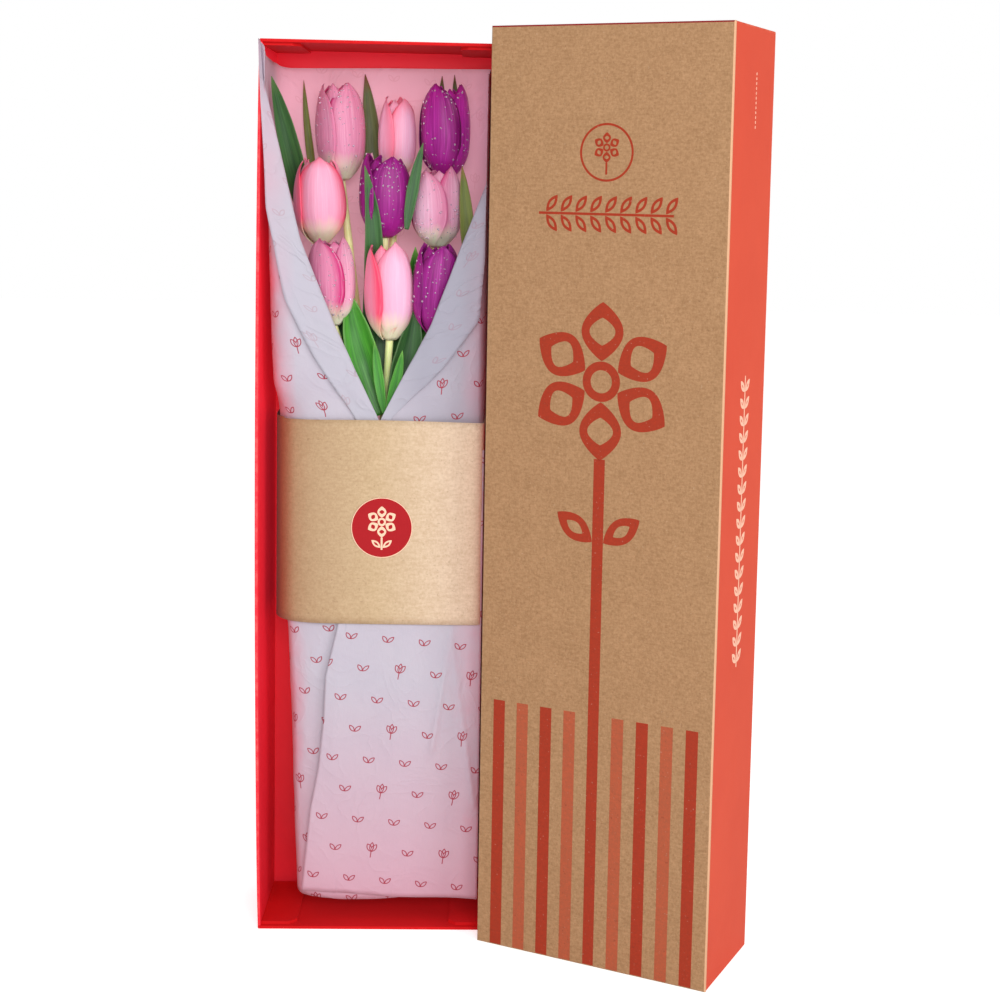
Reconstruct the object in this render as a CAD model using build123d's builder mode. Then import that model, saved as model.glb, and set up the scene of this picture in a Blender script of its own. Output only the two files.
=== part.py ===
from build123d import *
from math import atan2, cos, radians, sin
import os

# Telescoping flower box: an upright tray holding a tissue-wrapped bouquet of tulips,
# and its lid standing turned beside it. Millimetres, +Z up, the tray opens towards -Y.
# The origin is the middle of the tray's bottom end, on the surface it stands on.

# Carton
BOARD = 2.0                 # board thickness
TRAY_W = 156.0              # outside width
TRAY_D = 76.0               # outside depth
TRAY_H = 600.0              # outside length, standing
LID_SIDE_GAP = 2.0          # lid clearance round the tray's sides
LID_END_GAP = 3.0           # lid clearance at the tray's ends
LID_W = TRAY_W + 2 * (LID_SIDE_GAP + BOARD)
LID_H = TRAY_H + 2 * (LID_END_GAP + BOARD)
LID_D = TRAY_D + BOARD
LID_X = 162.7               # centre of the lid's footprint
LID_Y = -57.0
LID_TURN = 27.0             # the lid's turn about the vertical
FOLD_R = 1.0                # outer radius of a folded board edge
TAB_LENGTH = 24.0           # glue tab on each end wall
TAB_MARGIN = 3.0
TAB_CUT = 5.0               # slanted corner of a tab

# Band and tissue wrap: one section, offset inwards layer by layer
BAND_LEFT = -70.6
BAND_RIGHT = 71.0
BAND_FRONT = -31.9
BAND_BACK = 35.7
BAND_ROUND = 31.0           # the soft front left corner
BAND_CORNER = 6.0           # the other corners
BAND_PAPER = 0.7
BAND_LOW = 209.0
BAND_HEIGHT = 138.0
TISSUE = 0.7
LAYER_GAP = 0.25
FOLD_LOW = 213.0            # lower end of the two folds, under the band
FOLD_HIGH = 576.0
WRAP_LOW = 10.0
BACK_SHEET_TOP = 585.0
BACK_SHEET_W = 131.0
STICKER_R = 20.5
STICKER_X = 3.6
STICKER_Z = 278.6
STICKER_T = 0.3

# Bouquet
ROW_DEPTH = {"back": 18.5, "middle": 1.0, "front": -15.0}
BLOOM_BASE_R = 4.0
BLOOM_TIP_R = 3.5
BLOOM_BELLY = 0.42          # height of the widest place, as a share of the length
STEM_R = 2.6
STEM_PITCH = 7.5            # spacing of the stems in the tied bundle
BUNDLE_X = 2.0
BUNDLE_TOP = 330.0
STEM_END = 45.0
STEM_BEND_R = 150.0
STEM_GAP = 1.2              # between a stem and its bloom
LEAF_T = 0.8
TIE_Z = 268.0
TIE_HEIGHT = 6.0
TIE_T = 1.2
SLEEVE_LOW = 38.0
SLEEVE_HEIGHT = 76.0
SLEEVE_T = 1.2
SLEEVE_FLOOR = 3.0
BUNDLE_HALF = STEM_PITCH + STEM_R + 0.3

# Each bloom: row, column, x of its base, z of its base, length, sideways lean of its tip, radius
BLOOMS = (
    ("back", "left", -29.5, 511.0, 68.0, -3.0, 13.5),
    ("back", "centre", 7.5, 512.0, 57.0, 1.0, 10.5),
    ("back", "right", 42.0, 514.0, 64.0, -1.5, 13.5),
    ("middle", "left", -41.0, 468.0, 60.0, -3.0, 13.5),
    ("middle", "centre", 1.5, 473.0, 57.0, 0.0, 13.5),
    ("middle", "right", 37.0, 467.0, 55.0, -0.5, 13.5),
    ("front", "left", -31.0, 414.0, 59.0, -4.0, 13.0),
    ("front", "centre", 6.5, 405.0, 66.0, -2.5, 13.0),
    ("front", "right", 36.0, 410.0, 61.0, 3.0, 13.5),
)
COLUMN = {"left": -1, "centre": 0, "right": 1}
ROW = {"back": 1, "middle": 0, "front": -1}

# Each leaf blade: name, base point, tip point, width
LEAVES = (
    ("left_long", (-54.0, 20.0, 478.0), (-67.5, -6.0, 574.0), 12.0),
    ("left_thin", (-46.0, 30.5, 490.0), (-57.0, 32.3, 578.0), 6.0),
    ("back_left", (-10.0, 32.3, 488.0), (-15.0, 32.3, 583.0), 10.0),
    ("back_right_low", (37.0, 33.6, 524.0), (38.0, 33.6, 583.0), 6.0),
    ("back_right_high", (47.0, 33.6, 524.0), (46.5, 33.6, 584.0), 6.0),
    ("middle_left", (-14.0, -15.0, 402.0), (-15.5, -14.0, 520.0), 8.0),
    ("middle_right", (17.0, -13.5, 478.0), (27.5, -13.5, 536.0), 6.0),
    ("right_long", (60.0, -10.0, 446.0), (53.5, -8.0, 521.0), 8.0),
    ("inner_right", (24.0, 6.7, 396.0), (22.5, 6.7, 462.0), 8.0),
    ("front_left", (1.0, -19.0, 353.0), (-19.0, -22.0, 416.0), 13.0),
    ("front_thin", (4.0, -24.0, 355.0), (-3.0, -25.0, 404.0), 5.0),
    ("front_right", (9.0, -19.5, 352.0), (23.0, -22.0, 414.0), 9.0),
    ("front_small", (6.0, -27.5, 356.0), (14.0, -27.5, 394.0), 4.5),
)

os.makedirs("parts", exist_ok=True)


def save(part, name):
    """Label a finished piece and write its STEP file."""
    part.label = name
    export_step(part, f"parts/{name}.step")


def carton_half(name, foot, width, depth, height, panel_name, left_name, right_name):
    """Make one half of the carton on its foot plane.

    The large panel lies at the foot's -Y side and the four walls stand behind it, towards
    its +Y. The end walls run the full width, and the side walls stand between them. A tab
    from each side wall's end is glued inside each end wall.
    """
    wall_depth = depth - BOARD

    with BuildPart() as panel:
        with BuildSketch(foot):
            with Locations((0, -wall_depth / 2)):
                Rectangle(width, BOARD)
        extrude(amount=height)
        outer_face = panel.faces().sort_by(Axis(foot.origin, foot.y_dir))[0]
        fillet(outer_face.edges(), FOLD_R)
    save(panel.part, f"{name}_{panel_name}")

    for side, wall_name in ((-1, left_name), (1, right_name)):
        with BuildPart() as wall:
            with BuildSketch(foot.offset(BOARD)):
                with Locations((side * (width - BOARD) / 2, BOARD / 2)):
                    Rectangle(BOARD, wall_depth)
            extrude(amount=height - 2 * BOARD)
        save(wall.part, f"{name}_{wall_name}")

    for level, end_name, outer_index in ((0, "bottom_wall", 0), (height - BOARD, "top_wall", -1)):
        with BuildPart() as end_wall:
            with BuildSketch(foot.offset(level)):
                with Locations((0, BOARD / 2)):
                    Rectangle(width, wall_depth)
            extrude(amount=BOARD)
            outer_face = end_wall.faces().sort_by(Axis.Z)[outer_index]
            across = Axis(foot.origin, foot.x_dir)
            side_edges = outer_face.edges().sort_by(across)
            fillet([side_edges[0], side_edges[-1]], FOLD_R)
        save(end_wall.part, f"{name}_{end_name}")

    with BuildPart() as tabs:
        for level in (BOARD, height - 2 * BOARD):
            with BuildSketch(foot.offset(level)) as tab_plan:
                with Locations((0, BOARD / 2)):
                    with GridLocations(width - 2 * BOARD - TAB_LENGTH, 0, 2, 1):
                        Rectangle(TAB_LENGTH, wall_depth - 2 * TAB_MARGIN)
                by_width = tab_plan.vertices().sort_by(Axis(foot.origin, foot.x_dir))
                chamfer(by_width[2:6], TAB_CUT)
            extrude(amount=BOARD)
    save(tabs.part, f"{name}_corner_tabs")


def wrap_section(height, inset, thickness):
    """Return the closed section of one layer round the bouquet, inset from the band's outside."""
    with BuildSketch(Plane.XY.offset(height)) as section:
        with Locations(((BAND_LEFT + BAND_RIGHT) / 2, (BAND_FRONT + BAND_BACK) / 2)):
            Rectangle(BAND_RIGHT - BAND_LEFT - 2 * inset, BAND_BACK - BAND_FRONT - 2 * inset)
        front_corners = section.vertices().sort_by(Axis.Y)[:2].sort_by(Axis.X)
        other_corners = [v for v in section.vertices() if v != front_corners[0]]
        fillet(front_corners[0], BAND_ROUND - inset)
        fillet(other_corners, BAND_CORNER - inset)
        offset(amount=-thickness, mode=Mode.SUBTRACT)
    return section.sketch


def front_cut(points):
    """Return a solid through the whole depth whose outline, seen from the front, has these points."""
    with BuildPart() as cutter:
        with BuildSketch(Plane.XZ):
            with BuildLine():
                Polyline(*points, close=True)
            make_face()
        extrude(amount=TRAY_D, both=True)
    return cutter.part


carton_half("tray", Plane(origin=(0, 0, 0), x_dir=(-1, 0, 0), z_dir=(0, 0, 1)),
            TRAY_W, TRAY_D, TRAY_H, "back_panel", "right_wall", "left_wall")

turn = radians(LID_TURN)
carton_half("lid", Plane(origin=(LID_X, LID_Y, 0), x_dir=(cos(turn), -sin(turn), 0), z_dir=(0, 0, 1)),
            LID_W, LID_D, LID_H, "face_panel", "left_wall", "right_wall")

# Kraft band: a closed loop of paper round the whole wrap, with a round sticker on its front
with BuildPart() as kraft_band:
    add(wrap_section(BAND_LOW, 0.0, BAND_PAPER))
    extrude(amount=BAND_HEIGHT)
save(kraft_band.part, "kraft_band")

with BuildPart() as band_sticker:
    with BuildSketch(Plane.XZ.offset(-BAND_FRONT)):
        with Locations((STICKER_X, STICKER_Z)):
            Circle(STICKER_R)
    extrude(amount=STICKER_T)
save(band_sticker.part, "band_sticker")

# Tissue: a flat back sheet, two folds crossing at the front, the closed wrap below them,
# and a slanted sheet over the lower front
BACK_SHEET_Y = BAND_BACK - BAND_PAPER - LAYER_GAP
with BuildPart() as tissue_back_sheet:
    with BuildSketch(Plane.XY.offset(WRAP_LOW)):
        with Locations((BUNDLE_X, BACK_SHEET_Y - TISSUE / 2)):
            Rectangle(BACK_SHEET_W, TISSUE)
    extrude(amount=BACK_SHEET_TOP - WRAP_LOW)
save(tissue_back_sheet.part, "tissue_back_sheet")

FOLDED_EDGE_X = 2.0         # where the two folds cross
V_TIP_Z = 352.0
LEFT_V = ((-52.0, 472.0), (-29.5, 414.0))
RIGHT_V = ((35.0, 416.0), (53.0, 466.0))
FOLD_BACK = BACK_SHEET_Y - TISSUE - LAYER_GAP

left_layer = BAND_PAPER + LAYER_GAP
with BuildPart() as tissue_left_fold:
    add(wrap_section(FOLD_LOW, left_layer, TISSUE))
    extrude(amount=FOLD_HIGH - FOLD_LOW)
    add(front_cut(((FOLDED_EDGE_X, FOLD_LOW - 1), (FOLDED_EDGE_X, V_TIP_Z), *reversed(LEFT_V),
                   (BAND_LEFT - 7, FOLD_HIGH), (BAND_LEFT - 7, FOLD_HIGH + 5),
                   (BAND_RIGHT + 9, FOLD_HIGH + 5), (BAND_RIGHT + 9, FOLD_LOW - 1))),
        mode=Mode.SUBTRACT)
    split(bisect_by=Plane.XZ.offset(-FOLD_BACK), keep=Keep.TOP)
save(tissue_left_fold.part, "tissue_left_fold")

right_layer = left_layer + TISSUE + LAYER_GAP
with BuildPart() as tissue_right_fold:
    add(wrap_section(FOLD_LOW, right_layer, TISSUE))
    extrude(amount=FOLD_HIGH - FOLD_LOW)
    add(front_cut(((0.0, FOLD_LOW - 1), (0.0, V_TIP_Z - 3), (FOLDED_EDGE_X, V_TIP_Z), *RIGHT_V,
                   (BAND_RIGHT + 9, FOLD_HIGH - 60), (BAND_RIGHT + 9, FOLD_HIGH + 5),
                   (BAND_LEFT - 7, FOLD_HIGH + 5), (BAND_LEFT - 7, FOLD_LOW - 1))),
        mode=Mode.SUBTRACT)
    split(bisect_by=Plane.XZ.offset(-FOLD_BACK), keep=Keep.TOP)
save(tissue_right_fold.part, "tissue_right_fold")

wrap_layer = right_layer + TISSUE + LAYER_GAP
with BuildPart() as tissue_lower_wrap:
    add(wrap_section(WRAP_LOW, wrap_layer, TISSUE))
    extrude(amount=FOLD_LOW - LAYER_GAP - WRAP_LOW)
    split(bisect_by=Plane.XZ.offset(-FOLD_BACK), keep=Keep.TOP)
save(tissue_lower_wrap.part, "tissue_lower_wrap")

with BuildPart() as tissue_front_sheet:
    with BuildSketch(Plane.XZ.offset(-BAND_FRONT - wrap_layer + LAYER_GAP)):
        with BuildLine():
            Polyline((-26, FOLD_LOW - LAYER_GAP), (-36, 120), (-38, WRAP_LOW + 3), (62, WRAP_LOW - 2),
                     (62, FOLD_LOW - LAYER_GAP), close=True)
        make_face()
    extrude(amount=TISSUE)
save(tissue_front_sheet.part, "tissue_front_sheet")

# Tulips: each bloom is turned about its own leaning axis, and its stem runs down to the bundle
for row, column, base_x, base_z, length, lean, radius in BLOOMS:
    depth = ROW_DEPTH[row]
    angle = atan2(lean, length)
    bloom_plane = Plane(origin=(base_x, depth, base_z), x_dir=(cos(angle), 0, -sin(angle)), z_dir=(0, -1, 0))
    with BuildPart() as bloom:
        with BuildSketch(bloom_plane):
            with BuildLine():
                Line((0, 0), (BLOOM_BASE_R, 0))
                Spline((BLOOM_BASE_R, 0), (radius, BLOOM_BELLY * length), (BLOOM_TIP_R, length))
                Line((BLOOM_TIP_R, length), (0, length))
                Line((0, length), (0, 0))
            make_face()
        revolve(axis=Axis(bloom_plane.origin, bloom_plane.y_dir))
    save(bloom.part, f"bloom_{row}_{column}")

    bundle_x = BUNDLE_X + COLUMN[column] * STEM_PITCH
    bundle_y = ROW[row] * STEM_PITCH
    with BuildPart() as stem:
        with BuildLine() as stem_path:
            FilletPolyline((base_x, depth, base_z - STEM_GAP), (bundle_x, bundle_y, BUNDLE_TOP),
                           (bundle_x, bundle_y, STEM_END), radius=STEM_BEND_R)
        with BuildSketch(Plane(origin=(bundle_x, bundle_y, STEM_END))):
            Circle(STEM_R)
        sweep(path=stem_path.line)
    save(stem.part, f"stem_{row}_{column}")

# Leaves: thin pointed blades between the blooms
for leaf_name, base, tip, width in LEAVES:
    blade = Vector(*tip) - Vector(*base)
    across = Vector(0, -1, 0).cross(blade).normalized()
    leaf_plane = Plane(origin=base, x_dir=blade, z_dir=blade.cross(across))
    with BuildPart() as leaf:
        with BuildSketch(leaf_plane):
            with BuildLine():
                ThreePointArc((0, 0), (blade.length / 2, width / 2), (blade.length, 0))
                ThreePointArc((blade.length, 0), (blade.length / 2, -width / 2), (0, 0))
            make_face()
        extrude(amount=LEAF_T)
    save(leaf.part, f"leaf_{leaf_name}")

# Rubber tie round the bundle, and the sleeve that keeps the cut ends moist
with BuildPart() as stem_tie:
    with BuildSketch(Plane.XY.offset(TIE_Z)):
        with Locations((BUNDLE_X, 0)):
            RectangleRounded(2 * (BUNDLE_HALF + TIE_T), 2 * (BUNDLE_HALF + TIE_T), STEM_R + TIE_T)
            RectangleRounded(2 * BUNDLE_HALF, 2 * BUNDLE_HALF, STEM_R, mode=Mode.SUBTRACT)
    extrude(amount=TIE_HEIGHT)
save(stem_tie.part, "stem_tie")

with BuildPart() as hydration_sleeve:
    with BuildSketch(Plane.XY.offset(SLEEVE_LOW)):
        with Locations((BUNDLE_X, 0)):
            RectangleRounded(2 * (BUNDLE_HALF + SLEEVE_T), 2 * (BUNDLE_HALF + SLEEVE_T), STEM_R + SLEEVE_T)
    extrude(amount=SLEEVE_HEIGHT)
    with BuildSketch(Plane.XY.offset(SLEEVE_LOW + SLEEVE_FLOOR)):
        with Locations((BUNDLE_X, 0)):
            RectangleRounded(2 * BUNDLE_HALF, 2 * BUNDLE_HALF, STEM_R)
    extrude(amount=SLEEVE_HEIGHT, mode=Mode.SUBTRACT)
save(hydration_sleeve.part, "hydration_sleeve")
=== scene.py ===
"""A flower box dressed for display: its red tray, its printed kraft lid, and tulips wrapped in tissue.

The carton's panels keep their solids and get board, ink and wear finishes. The paper, the tulips
and the leaves are modelled here in place of their plain solids. Everything is in metres.
"""

import logging
import math
from dataclasses import dataclass, field
from enum import Enum
from functools import partialmethod
from random import Random
from typing import Callable, Optional, Sequence, Union

import bmesh
import bpy
from mathutils import Matrix, Vector, noise


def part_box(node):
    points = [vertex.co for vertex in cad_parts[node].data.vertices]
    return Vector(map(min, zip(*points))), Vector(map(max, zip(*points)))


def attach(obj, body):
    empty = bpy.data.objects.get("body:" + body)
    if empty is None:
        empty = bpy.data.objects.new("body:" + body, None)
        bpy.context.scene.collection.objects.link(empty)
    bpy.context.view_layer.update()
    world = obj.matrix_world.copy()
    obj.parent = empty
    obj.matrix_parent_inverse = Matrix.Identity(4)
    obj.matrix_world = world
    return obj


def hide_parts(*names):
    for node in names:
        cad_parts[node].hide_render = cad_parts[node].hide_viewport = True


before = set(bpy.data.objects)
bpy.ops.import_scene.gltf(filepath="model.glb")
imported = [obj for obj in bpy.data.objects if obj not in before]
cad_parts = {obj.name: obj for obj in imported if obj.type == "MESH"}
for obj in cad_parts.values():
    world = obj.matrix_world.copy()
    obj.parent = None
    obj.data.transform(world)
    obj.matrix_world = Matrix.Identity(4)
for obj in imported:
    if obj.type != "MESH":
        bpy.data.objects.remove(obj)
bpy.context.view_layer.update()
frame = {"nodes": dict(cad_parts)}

LOG = logging.getLogger("flower_box")
MM = 0.001
TISSUE_THICKNESS = 0.12 * MM
Colour = tuple[float, float, float, float]
Value = Union[float, tuple, bpy.types.NodeSocket]


def paint(red: int, green: int, blue: int) -> Colour:
    """Turn a paint swatch into linear light.

    Args:
        red, green, blue: The swatch, 0 to 255.

    Returns:
        The linear colour with full alpha.
    """
    def linear(level: int) -> float:
        """Return one channel in linear light."""
        share = level / 255
        return share / 12.92 if share <= 0.04045 else ((share + 0.055) / 1.055) ** 2.4
    return (linear(red), linear(green), linear(blue), 1.0)


def lerp(low: float, high: float, share: float) -> float:
    """Return the value that lies share of the way from low to high."""
    return low + (high - low) * share


def smooth(share: float) -> float:
    """Return share eased at both ends, held between 0 and 1."""
    share = min(max(share, 0.0), 1.0)
    return share * share * (3 - 2 * share)


def along_points(points: Sequence[tuple[float, float]], at: float) -> float:
    """Read a line of (place, value) points.

    Args:
        points: The points, in rising order of place.
        at: The place to read.

    Returns:
        The value there, held at the ends.
    """
    if at <= points[0][0]:
        return points[0][1]
    for (place, value), (next_place, next_value) in zip(points, points[1:]):
        if at <= next_place:
            return lerp(value, next_value, (at - place) / (next_place - place))
    return points[-1][1]


# ---------------------------------------------------------------------------- shader building


class NodeKit:
    """Short calls that add and join the nodes of one tree."""

    def __init__(self, tree: bpy.types.NodeTree) -> None:
        """Keep the tree that the nodes go into."""
        self.tree = tree

    def add(self, kind: str, **settings: object) -> bpy.types.Node:
        """Add a node.

        Args:
            kind: The node's type name.
            **settings: Properties to set on it.

        Returns:
            The new node.
        """
        node = self.tree.nodes.new(kind)
        for name, value in settings.items():
            setattr(node, name, value)
        return node

    def put(self, socket: bpy.types.NodeSocket, value: Value) -> None:
        """Join a socket to another, or set its value."""
        if isinstance(value, bpy.types.NodeSocket):
            self.tree.links.new(value, socket)
        else:
            socket.default_value = value

    def math(self, operation: str, *values: Value, clamp: bool = False) -> bpy.types.NodeSocket:
        """Return the result of a number operation on the values."""
        node = self.add("ShaderNodeMath", operation=operation, use_clamp=clamp)
        for socket, value in zip(node.inputs, values):
            self.put(socket, value)
        return node.outputs[0]

    times = partialmethod(math, "MULTIPLY")
    plus = partialmethod(math, "ADD")
    minus = partialmethod(math, "SUBTRACT")
    most = partialmethod(math, "MAXIMUM")
    least = partialmethod(math, "MINIMUM")
    size = partialmethod(math, "ABSOLUTE")

    def vector(self, operation: str, *values: Value) -> bpy.types.NodeSocket:
        """Return the result of a vector operation on the values."""
        node = self.add("ShaderNodeVectorMath", operation=operation)
        for socket, value in zip(node.inputs, values):
            self.put(socket, value)
        return node.outputs["Value" if operation in ("LENGTH", "DISTANCE", "DOT_PRODUCT") else "Vector"]

    def mix(self, share: Value, first: Value, second: Value, blend: str = "MIX") -> bpy.types.NodeSocket:
        """Return first mixed towards second by share, as colours."""
        node = self.add("ShaderNodeMix", data_type="RGBA", blend_type=blend, clamp_factor=True)
        self.put(node.inputs["Factor"], share)
        self.put(node.inputs[6], first)
        self.put(node.inputs[7], second)
        return node.outputs[2]

    def ramp(self, share: Value, *stops: tuple[float, Value]) -> bpy.types.NodeSocket:
        """Return a colour read from a ramp with these (place, colour) stops."""
        node = self.add("ShaderNodeValToRGB")
        bar = node.color_ramp
        while len(bar.elements) < len(stops):
            bar.elements.new(1.0)
        for element, (place, colour) in zip(bar.elements, stops):
            element.position = place
            element.color = colour
        self.put(node.inputs[0], share)
        return node.outputs[0]

    def fade(self, value: Value, low: float, high: float) -> bpy.types.NodeSocket:
        """Return 0 below low, 1 above high, and an even rise between them."""
        node = self.add("ShaderNodeMapRange", clamp=True)
        self.put(node.inputs["Value"], value)
        self.put(node.inputs["From Min"], low)
        self.put(node.inputs["From Max"], high)
        return node.outputs[0]

    def noise(self, place: Value, scale: Value, detail: float = 2.0, rough: float = 0.5,
              warp: float = 0.0) -> bpy.types.NodeSocket:
        """Return a cloudy value, about 0.5 on average, over the place."""
        node = self.add("ShaderNodeTexNoise")
        self.put(node.inputs["Vector"], place)
        self.put(node.inputs["Scale"], scale)
        node.inputs["Detail"].default_value = detail
        node.inputs["Roughness"].default_value = rough
        node.inputs["Distortion"].default_value = warp
        return node.outputs["Fac"]

    def stretch(self, place: Value, scale: tuple, turn: float = 0.0,
                shift: tuple = (0.0, 0.0, 0.0)) -> bpy.types.NodeSocket:
        """Return the place stretched by scale, turned about Z and then shifted."""
        node = self.add("ShaderNodeMapping")
        self.put(node.inputs["Vector"], place)
        node.inputs["Scale"].default_value = scale
        node.inputs["Rotation"].default_value = (0.0, 0.0, turn)
        node.inputs["Location"].default_value = shift
        return node.outputs[0]

    def place(self) -> bpy.types.NodeSocket:
        """Return the place on the object, in metres."""
        return self.add("ShaderNodeTexCoord").outputs["Object"]

    def uv(self, name: str) -> bpy.types.NodeSocket:
        """Return the place on the piece's own flat map of that name."""
        return self.add("ShaderNodeUVMap", uv_map=name).outputs[0]

    def from_middle(self, across: Value) -> bpy.types.NodeSocket:
        """Return how far across, 0 to 1, is from its middle: 0 there and 1 at either edge."""
        return self.size(self.minus(self.times(across, 2.0), 1.0))

    def split(self, place: Value) -> tuple:
        """Return the X, Y and Z of a vector."""
        node = self.add("ShaderNodeSeparateXYZ")
        self.put(node.inputs[0], place)
        return tuple(node.outputs)

    def join(self, x: Value, y: Value, z: Value = 0.0) -> bpy.types.NodeSocket:
        """Return a vector made of three values."""
        node = self.add("ShaderNodeCombineXYZ")
        for socket, value in zip(node.inputs, (x, y, z)):
            self.put(socket, value)
        return node.outputs[0]

    def use(self, group: bpy.types.NodeTree, **inputs: Value) -> bpy.types.NodeOutputs:
        """Place a node group.

        Args:
            group: The group's tree.
            **inputs: Its inputs by name, with _ for a space.

        Returns:
            The placed group's outputs.
        """
        node = self.add("ShaderNodeGroup")
        node.node_tree = group
        for name, value in inputs.items():
            self.put(node.inputs[name.replace("_", " ")], value)
        return node.outputs


class ShaderGroup:
    """A shader node group with named inputs and outputs, made once."""

    def __init__(self, name: str, inputs: dict[str, str], outputs: dict[str, str]) -> None:
        """Make an empty group.

        Args:
            name: The group's name.
            inputs: Input names and their kinds, Float, Vector or Color.
            outputs: Output names and their kinds.
        """
        self.tree = bpy.data.node_groups.new(name, "ShaderNodeTree")
        for side, sockets in (("INPUT", inputs), ("OUTPUT", outputs)):
            for socket_name, kind in sockets.items():
                self.tree.interface.new_socket(socket_name, in_out=side, socket_type=f"NodeSocket{kind}")
        self.kit = NodeKit(self.tree)
        self.given = self.kit.add("NodeGroupInput").outputs
        self.result = self.kit.add("NodeGroupOutput").inputs


def paper_fibre_group() -> bpy.types.NodeTree:
    """Build the look of unbleached board: cloudy pulp, long fibres and dark and pale specks.

    Returns:
        The group's tree, with Colour and Height out.
    """
    inputs = {"Position": "Vector", "Pulp": "Color", "Shade": "Color", "Speck": "Color", "Amount": "Float"}
    group = ShaderGroup("paper_fibre", inputs, {"Colour": "Color", "Height": "Float"})
    kit, given = group.kit, group.given
    place = given["Position"]
    cloud = kit.fade(kit.noise(place, 60.0, 3.0, 0.6), 0.3, 0.7)
    along = kit.noise(kit.stretch(place, (760.0, 760.0, 520.0)), 1.0, 3.0, 0.7)
    across = kit.noise(kit.stretch(place, (230.0, 230.0, 640.0), 0.0, (7.0, 3.0, 1.0)), 1.0, 3.0, 0.7)
    fibre = kit.times(kit.plus(along, across), 0.5)
    grain = kit.fade(fibre, 0.38, 0.62)
    tone = kit.plus(kit.times(grain, 0.82), kit.times(cloud, 0.18))
    shaded = kit.mix(kit.times(kit.minus(1.0, tone), given["Amount"]),
                     given["Pulp"], given["Shade"])
    dark = kit.fade(kit.noise(place, 520.0, 1.0, 0.5), 0.70, 0.76)
    pale = kit.fade(kit.noise(kit.vector("ADD", place, (0.31, 0.17, 0.05)), 640.0, 1.0, 0.5), 0.71, 0.77)
    specked = kit.mix(kit.times(dark, 0.28), shaded, given["Speck"])
    kit.put(group.result["Colour"], kit.mix(kit.times(pale, 0.14), specked, (0.75, 0.6, 0.45, 1.0)))
    kit.put(group.result["Height"], kit.plus(fibre, kit.times(cloud, 0.6)))
    return group.tree


def edge_wear_group() -> bpy.types.NodeTree:
    """Build the scuffing of a board box along its folded edges.

    Returns:
        The group's tree. Position is measured from the box's middle, and Wear is 1 on a scuffed edge.
    """
    group = ShaderGroup("edge_wear", {"Position": "Vector", "Half Size": "Vector", "Width": "Float"},
                        {"Wear": "Float"})
    kit, given = group.kit, group.given
    inside = kit.vector("SUBTRACT", given["Half Size"], kit.vector("ABSOLUTE", given["Position"]))
    x, y, z = kit.split(inside)
    middle = kit.most(kit.least(x, y), kit.least(kit.most(x, y), z))
    near = kit.minus(1.0, kit.math("DIVIDE", middle, given["Width"]), clamp=True)
    rubbed = kit.fade(kit.noise(given["Position"], 160.0, 4.0, 0.65), 0.42, 0.66)
    kit.put(group.result["Wear"], kit.times(near, rubbed))
    return group.tree


def streak_group() -> bpy.types.NodeTree:
    """Build the fine veins that run along a petal or a leaf.

    Returns:
        The group's tree. Place holds across and along from 0 to 1, and Vein is 0 to 1.
    """
    group = ShaderGroup("veins", {"Place": "Vector", "Count": "Float", "Seed": "Float"},
                        {"Vein": "Float", "Height": "Float"})
    kit, given = group.kit, group.given
    across, length, _ = kit.split(given["Place"])
    fine = kit.noise(kit.join(kit.times(across, given["Count"]),
                              kit.times(length, 1.6), given["Seed"]), 1.0, 3.0, 0.6)
    broad = kit.noise(kit.join(kit.times(across, kit.times(given["Count"], 0.2)),
                               length, given["Seed"]), 1.0, 2.0, 0.5)
    kit.put(group.result["Vein"], kit.fade(kit.plus(kit.times(fine, 0.6),
                                                    kit.times(broad, 0.4)), 0.32, 0.68))
    kit.put(group.result["Height"], fine)
    return group.tree


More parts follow.
